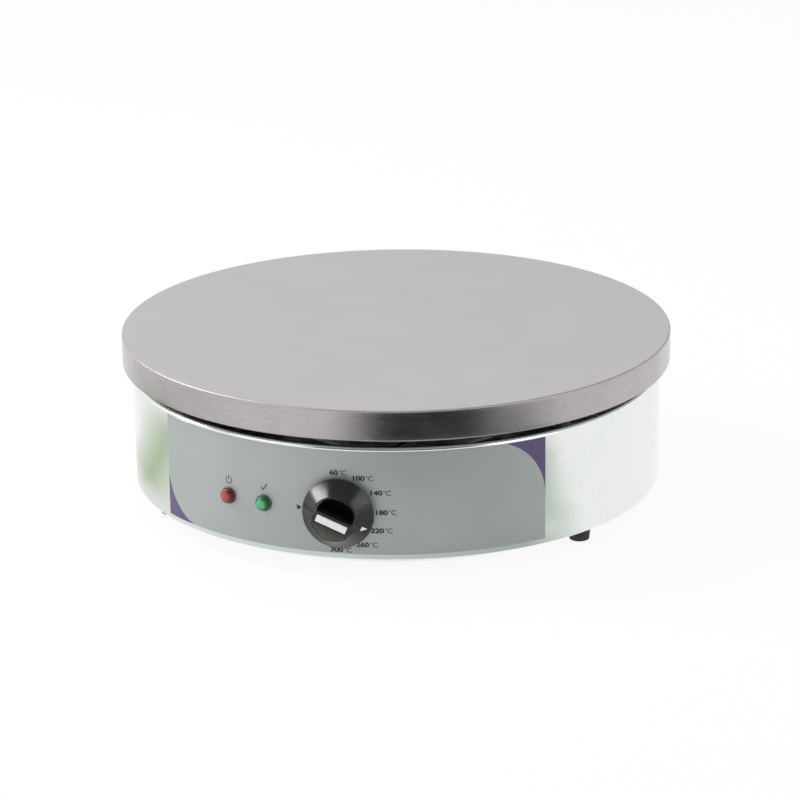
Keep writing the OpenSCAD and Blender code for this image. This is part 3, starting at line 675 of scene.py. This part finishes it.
def make_plate():
    side = PLATE_R - EDGE_R
    profile = [(radius, Z_TOP) for radius in (20, 80, 140, 185, side - 1.5)]
    profile += arc((side, Z_TOP - EDGE_R), EDGE_R, 90, 0, 6)
    profile += [(PLATE_R, Z_TOP - 4), (PLATE_R, Z_TOP - 11), (PLATE_R, Z_PLATE + 4)]
    profile += arc((side, Z_PLATE + EDGE_R), EDGE_R, 0, -90, 6)
    profile += [(RECESS_R + 1, Z_PLATE), (RECESS_R, Z_PLATE + 1), (RECESS_R, Z_WEB - 2)]
    profile += [(radius, Z_WEB) for radius in (RECESS_R - 2, 150, 60, 20)]
    plate = turned("machined_plate", profile, 360)
    # a boss leaves the web in a small fillet and holds its stud in a blind bore
    profile = [(BOSS_R + 2, Z_WEB + 0.5), (BOSS_R + 2, Z_WEB - 0.01), (BOSS_R + 0.4, Z_WEB - 1.2)]
    profile += [(BOSS_R, Z_WEB - 2.5), (BOSS_R, Z_BOSS + 0.8), (BOSS_R - 0.8, Z_BOSS)]
    profile += [(BOSS_BORE_R, Z_BOSS), (BOSS_BORE_R, Z_BOSS + 2)]
    boss = turned("boss", profile, 48)
    bosses = [again(boss, f"boss_{angle}", at_support(angle, STUD_R)) for angle in SUPPORTS]
    bpy.data.objects.remove(boss, do_unlink=True)
    plate = joined("machined_plate", plate, *bosses)
    done(plate, "griddle_iron", nodes=["griddle_plate"])
    # the side keeps the lathe's finish, and its two rounds get a darker, rougher metal: painted
    # shade that dims their highlight
    plate.data.materials.append(RIM_FINISH)
    plate.data.materials.append(EDGE_SHADE_FINISH)
    for face in plate.data.polygons:
        centre, level = face.center / MM, abs(face.normal.z)
        if hypot(centre.x, centre.y) > side - 0.1 and level < 0.97:
            face.material_index = 1 if level < 0.3 else 2


# ---- drum ----


def make_drum():
    rim = (BODY_R - RIM_R, Z_RIM - RIM_R)
    low = (BODY_R - CORNER_R, LIFT + CORNER_R)
    leg, flange = rim[0] - RIM_R, BODY_R - FLANGE_W
    profile = [(BODY_R, LIFT + CORNER_R), (BODY_R, 30), (BODY_R, 55), (BODY_R, 80)]
    profile += arc(rim, RIM_R, 0, 180, 14)
    profile += [(leg, rim[1] - RIM_LEG), (leg + SHEET, rim[1] - RIM_LEG)]
    profile += arc(rim, RIM_R - SHEET, 180, 0, 10)
    profile += [(WALL_R, 55)]
    profile += arc(low, CORNER_R - SHEET, 0, -90, 4)
    profile += [(flange + 0.5, LIFT + SHEET), (flange, LIFT + SHEET / 2), (flange + 0.5, LIFT)]
    profile += arc(low, CORNER_R, -90, -15, 6)
    drum = turned("polished_drum", profile, 360, closed=True)
    drilled(drum, BODY_R, 48, (
        (0, Z_CONTROL, 0, CONTROL_HOLE_R),
        (POWER_ANGLE, Z_CONTROL, 0, CONTROL_HOLE_R),
        (READY_ANGLE, Z_CONTROL, 0, CONTROL_HOLE_R),
        (180, Z_GLAND, 0, GLAND_HOLE_R),
    ))
    done(drum, "polished_stainless", nodes=["drum_wall"])


# ---- printed film ----


def rolled(obj, off=0.0):
    """Wraps a flat piece, drawn upright at y = 0, round the front of the drum."""
    radius = FACE_R + off
    xs = [v.co.x for v in obj.data.vertices]
    modify(
        obj, "SIMPLE_DEFORM", deform_method="BEND", deform_axis="Z",
        angle=(max(xs) - min(xs)) / (radius * MM),
    )
    return moved(obj, shift(0, -radius, 0))


def upright(obj):
    """Stands up a piece that is drawn flat: its +Y becomes +Z, and it faces the front."""
    return moved(obj, Matrix.Rotation(radians(90), 4, "X"))


def printed(obj, x, z, ink):
    """Lays a piece that is drawn flat on the film, x along it and z up, and inks it."""
    upright(obj)
    moved(obj, shift(x, 0, z))
    rolled(obj, PRINT_LIFT)
    paint(obj, ink)
    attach(obj, "base")
    return obj


def make_film():
    bpy.ops.mesh.primitive_grid_add(x_subdivisions=120, y_subdivisions=6, size=1)
    film = start("control_film")
    film.scale = (2 * FACE_R * FILM_HALF * MM, (FILM_HIGH - FILM_LOW) * MM, 1)
    settle(film)
    upright(film)
    moved(film, shift(0, 0, (FILM_LOW + FILM_HIGH) / 2))
    rolled(film)
    moved(film, spun(FILM_TURN))
    modify(film, "SOLIDIFY", thickness=FILM_T * MM, offset=-1)
    tidy(film)
    drilled(film, FACE_R, 40, (
        (0, Z_CONTROL, 0, CONTROL_HOLE_R),
        (0, Z_CONTROL, -SCREW_X, SCREW_HOLE_R),
        (0, Z_CONTROL, SCREW_X, SCREW_HOLE_R),
        (POWER_ANGLE, Z_CONTROL, 0, CONTROL_HOLE_R),
        (READY_ANGLE, Z_CONTROL, 0, CONTROL_HOLE_R),
    ))
    done(film, "panel_film", nodes=["control_panel"])


def make_corner(name, centre, radius, side, up):
    """One violet corner: an arc drawn out level to the film's edge.

    side is 1 at the film's right end and -1 at its left; up is 1 at its top and -1 at its foot.
    """
    middle_x, middle_z = centre
    edge = side * FACE_R * FILM_HALF
    end = FILM_HIGH if up > 0 else FILM_LOW

    def off_film(vertex):
        x, z = vertex.co.x / MM, vertex.co.z / MM
        other_side = (x - middle_x) * side < 0 or (z - middle_z) * up < 0
        return other_side or (z - end) * up > 0 or (x - edge) * side > 0

    bpy.ops.mesh.primitive_circle_add(vertices=240, radius=radius * MM, fill_type="NOTHING")
    corner = upright(start(name))
    moved(corner, shift(middle_x, 0, middle_z))
    bpy.ops.object.mode_set(mode="EDIT")
    pick(corner, off_film)
    bpy.ops.mesh.delete(type="VERT")
    # the ends of the arc meet the film's edges
    mesh = bmesh.from_edit_mesh(corner.data)
    for vertex in (v for v in mesh.verts if len(v.link_edges) == 1):
        if abs(vertex.co.z / MM - end) < 3:
            across = sqrt(max(0.0, radius ** 2 - (end - middle_z) ** 2))
            vertex.co.x, vertex.co.z = (middle_x + side * across) * MM, end * MM
        else:
            rise = sqrt(max(0.0, radius ** 2 - (edge - middle_x) ** 2))
            vertex.co.x, vertex.co.z = (edge - side * 0.02) * MM, (middle_z + up * rise) * MM
    bmesh.update_edit_mesh(corner.data)
    bpy.ops.mesh.select_mode(type="EDGE")
    bpy.ops.mesh.select_all(action="SELECT")
    draw_out((0, 1, 1), (edge * MM, 0, 0))
    # rungs across the corner get cuts, so that it can follow the drum
    pick_edges(corner, lambda a, b: abs(a.co.z - b.co.z) < 1e-7 and abs(a.co.x - b.co.x) > 1e-6)
    bpy.ops.mesh.subdivide(number_cuts=9)
    bpy.ops.object.mode_set(mode="OBJECT")
    rolled(corner, PRINT_LIFT)
    moved(corner, spun(FILM_TURN))
    # the print faces outwards
    only(corner)
    bpy.ops.object.mode_set(mode="EDIT")
    bpy.ops.mesh.select_all(action="SELECT")
    bpy.ops.mesh.normals_make_consistent(inside=False)
    bpy.ops.object.mode_set(mode="OBJECT")
    faces = corner.data.polygons
    if sum(p.normal.dot(Vector((p.center.x, p.center.y, 0))) for p in faces) < 0:
        corner.data.flip_normals()
    smooth(corner)
    paint(corner, VIOLET_INK)
    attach(corner, "base")


def flat_text(name, words, height, centre, ink, weight, left=None, stretch=1.0):
    """Figures printed on the film, about their middle or from a left end.

    Gives back where they end at the right.
    """
    bpy.ops.object.text_add()
    text = start(name)
    text.data.body = words
    text.data.offset = weight
    text.data.resolution_u = 6
    bpy.ops.object.convert(target="MESH")
    piece = start(name)
    xs = [v.co.x for v in piece.data.vertices]
    ys = [v.co.y for v in piece.data.vertices]
    scale = height * MM / (max(ys) - min(ys))
    size = Matrix.Diagonal((scale * stretch, scale, 1, 1))
    to_middle = (-(max(xs) + min(xs)) / 2, -(max(ys) + min(ys)) / 2, 0)
    moved(piece, size @ Matrix.Translation(to_middle))
    width = (max(xs) - min(xs)) * scale * stretch / MM
    x, z = centre
    if left is not None:
        x = left + width / 2
    smooth(printed(piece, x, z, ink))
    return x + width / 2


def make_dial():
    for figure, x, z in (
        ("60", -3.5, 77.5), ("100", 13.9, 74.1), ("140", 25.9, 63.7), ("180", 29.5, 49.5),
        ("220", 26.2, 36.2), ("260", 15.9, 25.7), ("300", -2.2, 21.3),
    ):
        right = flat_text(
            "figure_" + figure, figure, FIGURE_H, (x, z), DIAL_INK, BOLD, stretch=1.3
        )
        right = flat_text(
            "degree_" + figure, "°", 1.3, (0, z + 1.2), UNIT_INK, LIGHT, right + 0.8
        )
        flat_text("unit_" + figure, "C", FIGURE_H, (0, z), UNIT_INK, LIGHT, right + 0.2, 1.1)
    # the mark where the dial starts
    bpy.ops.mesh.primitive_circle_add(vertices=3, radius=2.3 * MM, fill_type="NGON")
    mark = moved(start("start_mark"), spun(-90))
    printed(mark, -29.3, Z_CONTROL + 0.6, DIAL_INK)


def make_signs():
    """Plain signs above the lamps: on, and up to heat."""
    on_x, ready_x = (radians(angle) * FACE_R for angle in (POWER_ANGLE, READY_ANGLE))
    z = Z_CONTROL + 11.4
    # a broken ring with a stroke at the top
    bpy.ops.mesh.primitive_circle_add(vertices=48, radius=2.2 * MM, fill_type="NOTHING")
    ring = start("on_sign")
    bpy.ops.object.mode_set(mode="EDIT")
    pick(ring, lambda vertex: vertex.co.y > 1.8 * MM)
    bpy.ops.mesh.delete(type="VERT")
    bpy.ops.mesh.select_mode(type="EDGE")
    bpy.ops.mesh.select_all(action="SELECT")
    draw_out((1.28, 1.28, 1), (0, 0, 0))
    bpy.ops.object.mode_set(mode="OBJECT")
    stroke = bar("stroke", (-0.36, 0.3, 0), (0.36, 3.2, PRINT_T))
    printed(joined("on_sign", ring, stroke), on_x, z, DIAL_INK)
    # a tick
    short = moved(bar("tick_short", (-0.4, 0, 0), (0.4, 2.5, PRINT_T)), spun(40))
    long = moved(bar("tick_long", (-0.4, 0, 0), (0.4, 5.6, PRINT_T)), spun(-35))
    printed(joined("ready_sign", short, long), ready_x - 0.6, z - 2.0, DIAL_INK)


# ---- knob ----


def on_knob():
    """From a piece drawn along the knob's axis, +X towards its pointer, to its place."""
    return outward(0, Z_CONTROL, FACE_R) @ spun(-POINTER_ANGLE)


def finger_scoop(turn):
    """A cutter beside the grip bar, with a floor that slopes down and out from the bar."""
    scoop = bar("scoop", (-SCOOP_HALF, GRIP_HALF, 0), (SCOOP_HALF, 40, 60))
    bpy.ops.object.mode_set(mode="EDIT")
    bpy.ops.mesh.select_mode(type="EDGE")
    bpy.ops.mesh.select_all(action="DESELECT")
    # the two lower edges that run out from the bar get rounded
    pick_edges(scoop, lambda a, b: max(a.co.z, b.co.z) < MM and abs(a.co.x - b.co.x) < 1e-6)
    mesh = bmesh.from_edit_mesh(scoop.data)
    for vertex in mesh.verts:
        if vertex.co.z < MM:
            out = vertex.co.y / MM - GRIP_HALF
            vertex.co.z = (SCOOP_FLOOR + out * tan(SCOOP_SLOPE)) * MM
    bmesh.update_edit_mesh(scoop.data)
    bpy.ops.mesh.bevel(offset=SCOOP_ROUND * MM, segments=10, affect="EDGES")
    bpy.ops.object.mode_set(mode="OBJECT")
    return moved(scoop, spun(turn))


def make_knob():
    # the skirt flares on an arc from its edge to its neck
    (edge_r, edge_z), (neck_r, neck_z) = SKIRT_EDGE, SKIRT_NECK
    chord = hypot(edge_r - neck_r, edge_z - neck_z)
    away = sqrt(FLARE_R ** 2 - chord ** 2 / 4)
    centre = (
        (edge_r + neck_r) / 2 + (neck_z - edge_z) / chord * away,
        (edge_z + neck_z) / 2 + (edge_r - neck_r) / chord * away,
    )
    first = degrees(atan2(edge_z - centre[1], edge_r - centre[0])) % 360
    last = degrees(atan2(neck_z - centre[1], neck_r - centre[0])) % 360
    profile = [(8, 3.5), (8, 6), (22, 6), (22, 3.5)]
    profile += [(KNOB_R - 0.7, 3.5), (KNOB_R, 4.2), (KNOB_R, 4.7)]
    profile += arc(centre, FLARE_R, first, last, 10)
    profile += [(15.3, 20.5), (14.5, KNOB_OUT - 1), (13.5, KNOB_OUT), (6, KNOB_OUT)]
    knob = turned("knob", profile, 128)
    cut(knob, finger_scoop(0), finger_scoop(180))
    bed_x, bed_y = INLAY_X + INLAY_PLAY, INLAY_Y + INLAY_PLAY
    cut(knob, bar("inlay_bed", (-bed_x, -bed_y, Z_INLAY), (bed_x, bed_y, 28)))
    modify(knob, "REMESH", mode="VOXEL", voxel_size=0.36 * MM, use_smooth_shade=True)
    modify(knob, "SMOOTH", factor=0.5, iterations=7)
    # the upper scoop is painted near black inside: painted shade; the lower one is painted pale,
    # all but its strip along the bar: painted light
    inside = {}
    for face in knob.data.polygons:
        x, y, z = face.center / MM
        surface = neck_r + (neck_z - z) * (SKIRT_SLOPE if z < neck_z else HUB_TAPER)
        if abs(y) > GRIP_HALF - 0.25 and 6.5 < z < 25.4 and hypot(x, y) < surface - 0.6:
            inside[face.index] = 2 if y < -GRIP_HALF - 0.4 else 1
    moved(knob, on_knob())
    done(knob, "black_phenolic", "knob", ["thermostat_knob"], angle=50)
    knob.data.materials.append(SCOOP_SHADE_FINISH)
    knob.data.materials.append(SCOOP_LIT_FINISH)
    for index, slot in inside.items():
        knob.data.polygons[index].material_index = slot
    low = Z_INLAY + INLAY_PLAY
    inlay = bar("grip_inlay", (-INLAY_X, -INLAY_Y, low), (INLAY_X, INLAY_Y, low + 0.85))
    modify(inlay, "BEVEL", width=0.25 * MM, segments=3, limit_method="ANGLE")
    moved(inlay, on_knob())
    done(inlay, "white_print", "knob", ["knob_inlay"])
    # the print lies on the finished skirt, a little further out than the solid's own
    pointer = fair_copy("knob_pointer")
    moved(pointer, shift(0.5, -0.44, -0.2))
    # it is drawn in along the skirt's slope, so its tip keeps clear of the figures
    slope = on_knob() @ shift(17.2, 0, 14.5)
    moved(pointer, slope @ Matrix.Diagonal((0.8, 1, 0.8, 1)) @ slope.inverted())
    done(pointer, "white_print", "knob", ["knob_pointer"])


# ---- lamps ----


def make_lamp(name, node, angle, slot):
    """A lens with a collar on the film, three rings round its side and a low dome."""
    profile = [(4.8, -5), (5.0, -4.8), (5.0, -0.3), (LENS_R - 0.2, 0)]
    profile += [(LENS_R, 0.2), (LENS_R, 0.8), (LENS_R - 0.4, 1.15), (5.0, 1.2)]
    for z in (1.35, 2.35, 3.35):
        profile += [(4.35, z), (4.72, z + 0.14), (4.8, z + 0.35)]
        profile += [(4.72, z + 0.56), (4.35, z + 0.7)]
    for radius in (4.3, 4.0, 3.4, 2.6, 1.7, 0.8):
        profile.append((radius, LENS_OUT - DOME_R + sqrt(DOME_R ** 2 - radius ** 2)))
    lens = turned(name, profile, 64)
    moved(lens, outward(angle, Z_CONTROL, FACE_R + 0.05))
    done(lens, slot, nodes=[node], angle=50)


# ---- feet, studs and nuts ----


def make_feet():
    profile = [
        (2.6, 6.0), (4.6, 6.0), (5.0, 5.6), (5.0, 0.5), (5.4, 0.02), (6.3, 0.0),
        (6.9, 0.3), (7.25, 1.0), (7.6, 5.0), (8.25, 13.2), (8.25, 15.2), (2.6, 15.2),
    ]
    foot = turned("foot", profile, 64, closed=True)
    for angle, place in zip(SUPPORTS, ("right", "rear", "left")):
        piece = again(foot, "foot_" + place, at_support(angle, FOOT_R))
        done(piece, "foot_rubber", nodes=["feet"])
    bpy.data.objects.remove(foot, do_unlink=True)


def make_studs():
    stud = threaded_rod("stud", 4.0, STUD_LOW, STUD_HIGH, 1.25)
    nut = hex_nut("nut_m8", 13, 6.5, 4.05)
    for angle in SUPPORTS:
        piece = again(stud, f"plate_stud_{angle}", at_support(angle, STUD_R))
        # the studs take the zinc with painted light
        done(piece, "zinc_steel", nodes=["plate_studs"], finish=STUD_PAINTED_LIGHT_FINISH, angle=50)
        for index, z in enumerate(STUD_NUTS):
            place = at_support(angle, STUD_R, z) @ spun(12 * index)
            piece = again(nut, f"stud_nut_{angle}_{index}", place)
            done(piece, "zinc_steel", nodes=["plate_stud_nuts"])
    for piece in (stud, nut):
        bpy.data.objects.remove(piece, do_unlink=True)


# ---- solids that only need eased edges and smooth rounds ----

EASED = {
    "support_brackets": ("galvanised_steel", 0.3),
    "floor_ring": ("galvanised_steel", 0.2),
    "base_pan": ("galvanised_steel", 0.2),
    "base_screws": ("zinc_steel", 0.15),
    "foot_screws": ("zinc_steel", 0.15),
    "thermostat_screws": ("zinc_steel", 0.12),
    "gland_body": ("gland_nylon", 0.4),
    "gland_seal": ("foot_rubber", 0.2),
    "gland_cap": ("gland_nylon", 0.5),
    "heat_shield": ("dark_sheet", 0.2),
    "insulation_disc": ("insulation", 0.4),
    "terminal_block": ("white_nylon", 0.3),
    "thermostat_body": ("ceramic_white", 0.3),
    "limit_thermostat": ("black_phenolic", 0.2),
    "earth_stud": ("zinc_steel", 0.2),
    "earth_nuts": ("brass_part", 0.25),
    "terminal_screws": ("brass_part", 0.12),
    "outer_element": ("element_sheath", 0.0),
    "inner_element": ("element_sheath", 0.0),
    "element_bushes": ("ceramic_white", 0.2),
    "sensing_bulb": ("copper_line", 0.3),
    "capillary_tube": ("copper_line", 0.0),
    "shaft_bush": ("brass_part", 0.2),
}

make_plate()
make_drum()
make_film()
make_corner("violet_corner_right", (104.3, 49.9), 45.7, 1, 1)
make_corner("violet_corner_left", (-110.9, 57.5), 39.9, -1, -1)
make_dial()
make_signs()
make_knob()
make_lamp("power_lens", "power_lamp_lens", POWER_ANGLE, "red_lens")
make_lamp("ready_lens", "ready_lamp_lens", READY_ANGLE, "green_lens")
make_feet()
make_studs()
for node, (slot, bevel) in EASED.items():
    done(fair_copy(node, bevel), slot, nodes=[node])
done(fair_copy("thermostat_shaft", 0.2), "zinc_steel", "knob", ["thermostat_shaft"])

# the solids that stay get their finish on their own slots
SLOTS = {
    "foot_nuts": "zinc_steel",
    "lamp_housings": "white_nylon",
    "lamp_nuts": "white_nylon",
    "knob_spring": "zinc_steel",
    "bulb_clips": "zinc_steel",
    "clip_screws": "zinc_steel",
    "clamp_bars": "galvanised_steel",
    "hanger_studs": "zinc_steel",
    "hanger_nuts": "zinc_steel",
    "gland_locknut": "gland_nylon",
}
for node, slot in SLOTS.items():
    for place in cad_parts[node].material_slots:
        place.material = FINISHES[slot]


# ---- camera, floor and light ----


def set_camera():
    """The camera of the main view."""
    forward = Vector((-sin(TURN) * cos(TILT), cos(TURN) * cos(TILT), -sin(TILT)))
    right = Vector((cos(TURN), sin(TURN), 0))
    up = Vector((-sin(TURN) * sin(TILT), cos(TURN) * sin(TILT), cos(TILT)))
    right, up = right * cos(ROLL) - up * sin(ROLL), right * sin(ROLL) + up * cos(ROLL)
    aim = Vector((0, 0, Z_TOP * MM)) + (LOOK_RIGHT * right - LOOK_DOWN * up) * MM
    place = aim - CAMERA_AWAY * forward
    data = bpy.data.cameras.new("camera")
    data.sensor_width = 36
    data.lens = CAMERA_LENS
    camera = bpy.data.objects.new("camera", data)
    bpy.context.collection.objects.link(camera)
    turn_of = Matrix((right, up, -forward)).transposed().to_4x4()
    camera.matrix_world = Matrix.Translation(place) @ turn_of
    bpy.context.scene.camera = camera


def seen_white(f):
    """1 for what the camera, a shiny surface or glass looks at directly."""
    path = f.add("ShaderNodeLightPath").socket.node
    seen = Value(f, path.outputs["Is Camera Ray"])
    for name in ("Is Glossy Ray", "Is Transmission Ray"):
        seen = seen.math("MAXIMUM", seen, Value(f, path.outputs[name]))
    return seen


def set_stage():
    """The studio round the object, and its floor."""
    world = bpy.data.worlds.new("studio")
    bpy.context.scene.world = world
    f = Finish("studio", world)
    # the studio is white up to eye height; in the shine its ceiling is dimmer, and dark in front
    x, y, z = f.axes(f.add("ShaderNodeTexCoord", output="Generated"))
    high = 0.65 * f.window(z, 0.3, 0.75)
    front = 0.93 * f.window(0.26 * x - 0.97 * y, 0.3, 0.6) * f.window(z, 0.25, 0.5)
    sky = f.add(
        "ShaderNodeBackground", None,
        {
            "Color": (1, 1, 1, 1),
            "Strength": 0.55 + seen_white(f) * (0.45 - high.math("MAXIMUM", high, front)),
        },
    )
    f.end(sky, "ShaderNodeOutputWorld")
    bpy.ops.mesh.primitive_plane_add(size=16)
    floor = start("studio_floor")
    f = Finish("studio_floor")
    paper = f.add("ShaderNodeBsdfDiffuse", None, {"Color": (0.9, 0.9, 0.9, 1)})
    glow = f.add("ShaderNodeEmission", None, {"Color": (1, 1, 1, 1), "Strength": 1.0})
    # the floor is white to the eye, but dark below the middle of the drum
    white = 0.92 * seen_white(f) * f.window(f.from_axis(), 135, 160)
    mixed = f.add("ShaderNodeMixShader", None, {0: white, 1: paper, 2: glow})
    floor.data.materials.append(f.end(mixed))


def floor_shine():
    """A sheet on the floor that only shiny surfaces see: white, dark in front, with patches."""
    bpy.ops.mesh.primitive_circle_add(vertices=180, radius=195 * MM, fill_type="NOTHING")
    sheet = start("floor_shine")
    bpy.ops.object.mode_set(mode="EDIT")
    bpy.ops.mesh.select_mode(type="EDGE")
    bpy.ops.mesh.select_all(action="SELECT")
    draw_out((12, 12, 1), (0, 0, 0))
    bpy.ops.object.mode_set(mode="OBJECT")
    moved(sheet, shift(0, 0, 1))
    f = Finish("floor_shine")
    x, y, _ = f.axes(f.place())
    radius = f.from_axis()
    turn = (180 / pi) * x.math("ARCTAN2", x, 0 - y)

    def between(value, rise, fall):
        return f.window(value, *rise) * (1 - f.window(value, *fall))

    edge = f.blend(f.window(turn, -45, 42), (0.81, 0.84, 0.83, 1), (0.42, 0.46, 0.43, 1))
    near = (1 - f.window(radius, 235, 270)) * (1 - f.window(turn, 44, 62))
    colour = f.blend(near * (0.4 + 0.6 * f.window(turn, -75, -50)), (0.97, 0.97, 0.97, 1), edge)
    for rise, fall, grows, shade in (
        ((-104, -80), (-78, -54), (195, 240), (0.49, 0.58, 0.43, 1)),
        ((30, 50), (58, 68), (215, 275), (0.54, 0.65, 0.57, 1)),
    ):
        patch = between(turn, rise, fall) * between(radius, grows, (360, 520))
        colour = f.blend(patch, colour, shade)
    dark = between(turn, (-10, 6), (36, 72)) * f.window(radius, 300, 400)
    colour = f.blend(dark, colour, (0.012, 0.012, 0.012, 1))
    glow = f.add("ShaderNodeEmission", None, {"Color": colour, "Strength": 1.0})
    sheet.data.materials.append(f.end(glow))
    sheet.visible_camera = sheet.visible_diffuse = False
    sheet.visible_shadow = sheet.visible_transmission = False


def softbox(name, place, size, power):
    """A rectangular studio lamp that faces the middle of the drum."""
    data = bpy.data.lights.new(name, "AREA")
    data.shape = "RECTANGLE"
    data.size, data.size_y = size
    data.energy = power
    light = bpy.data.objects.new(name, data)
    bpy.context.collection.objects.link(light)
    light.location = place
    towards = Vector((0, 0, 0.08)) - Vector(place)
    light.rotation_euler = towards.to_track_quat("-Z", "Y").to_euler()


set_camera()
set_stage()
floor_shine()
softbox("left_light", (-1.8, 0.0, 1.42), (0.5, 1.6), 34)
softbox("key_light", (-1.5, -1.4, 1.7), (1.4, 1.1), 6)
softbox("side_light", (2.0, -0.9, 1.1), (1.2, 1.4), 7)
softbox("top_light", (0.1, 0.6, 2.2), (1.6, 1.2), 7)

scene = bpy.context.scene
scene.view_settings.view_transform = "Standard"
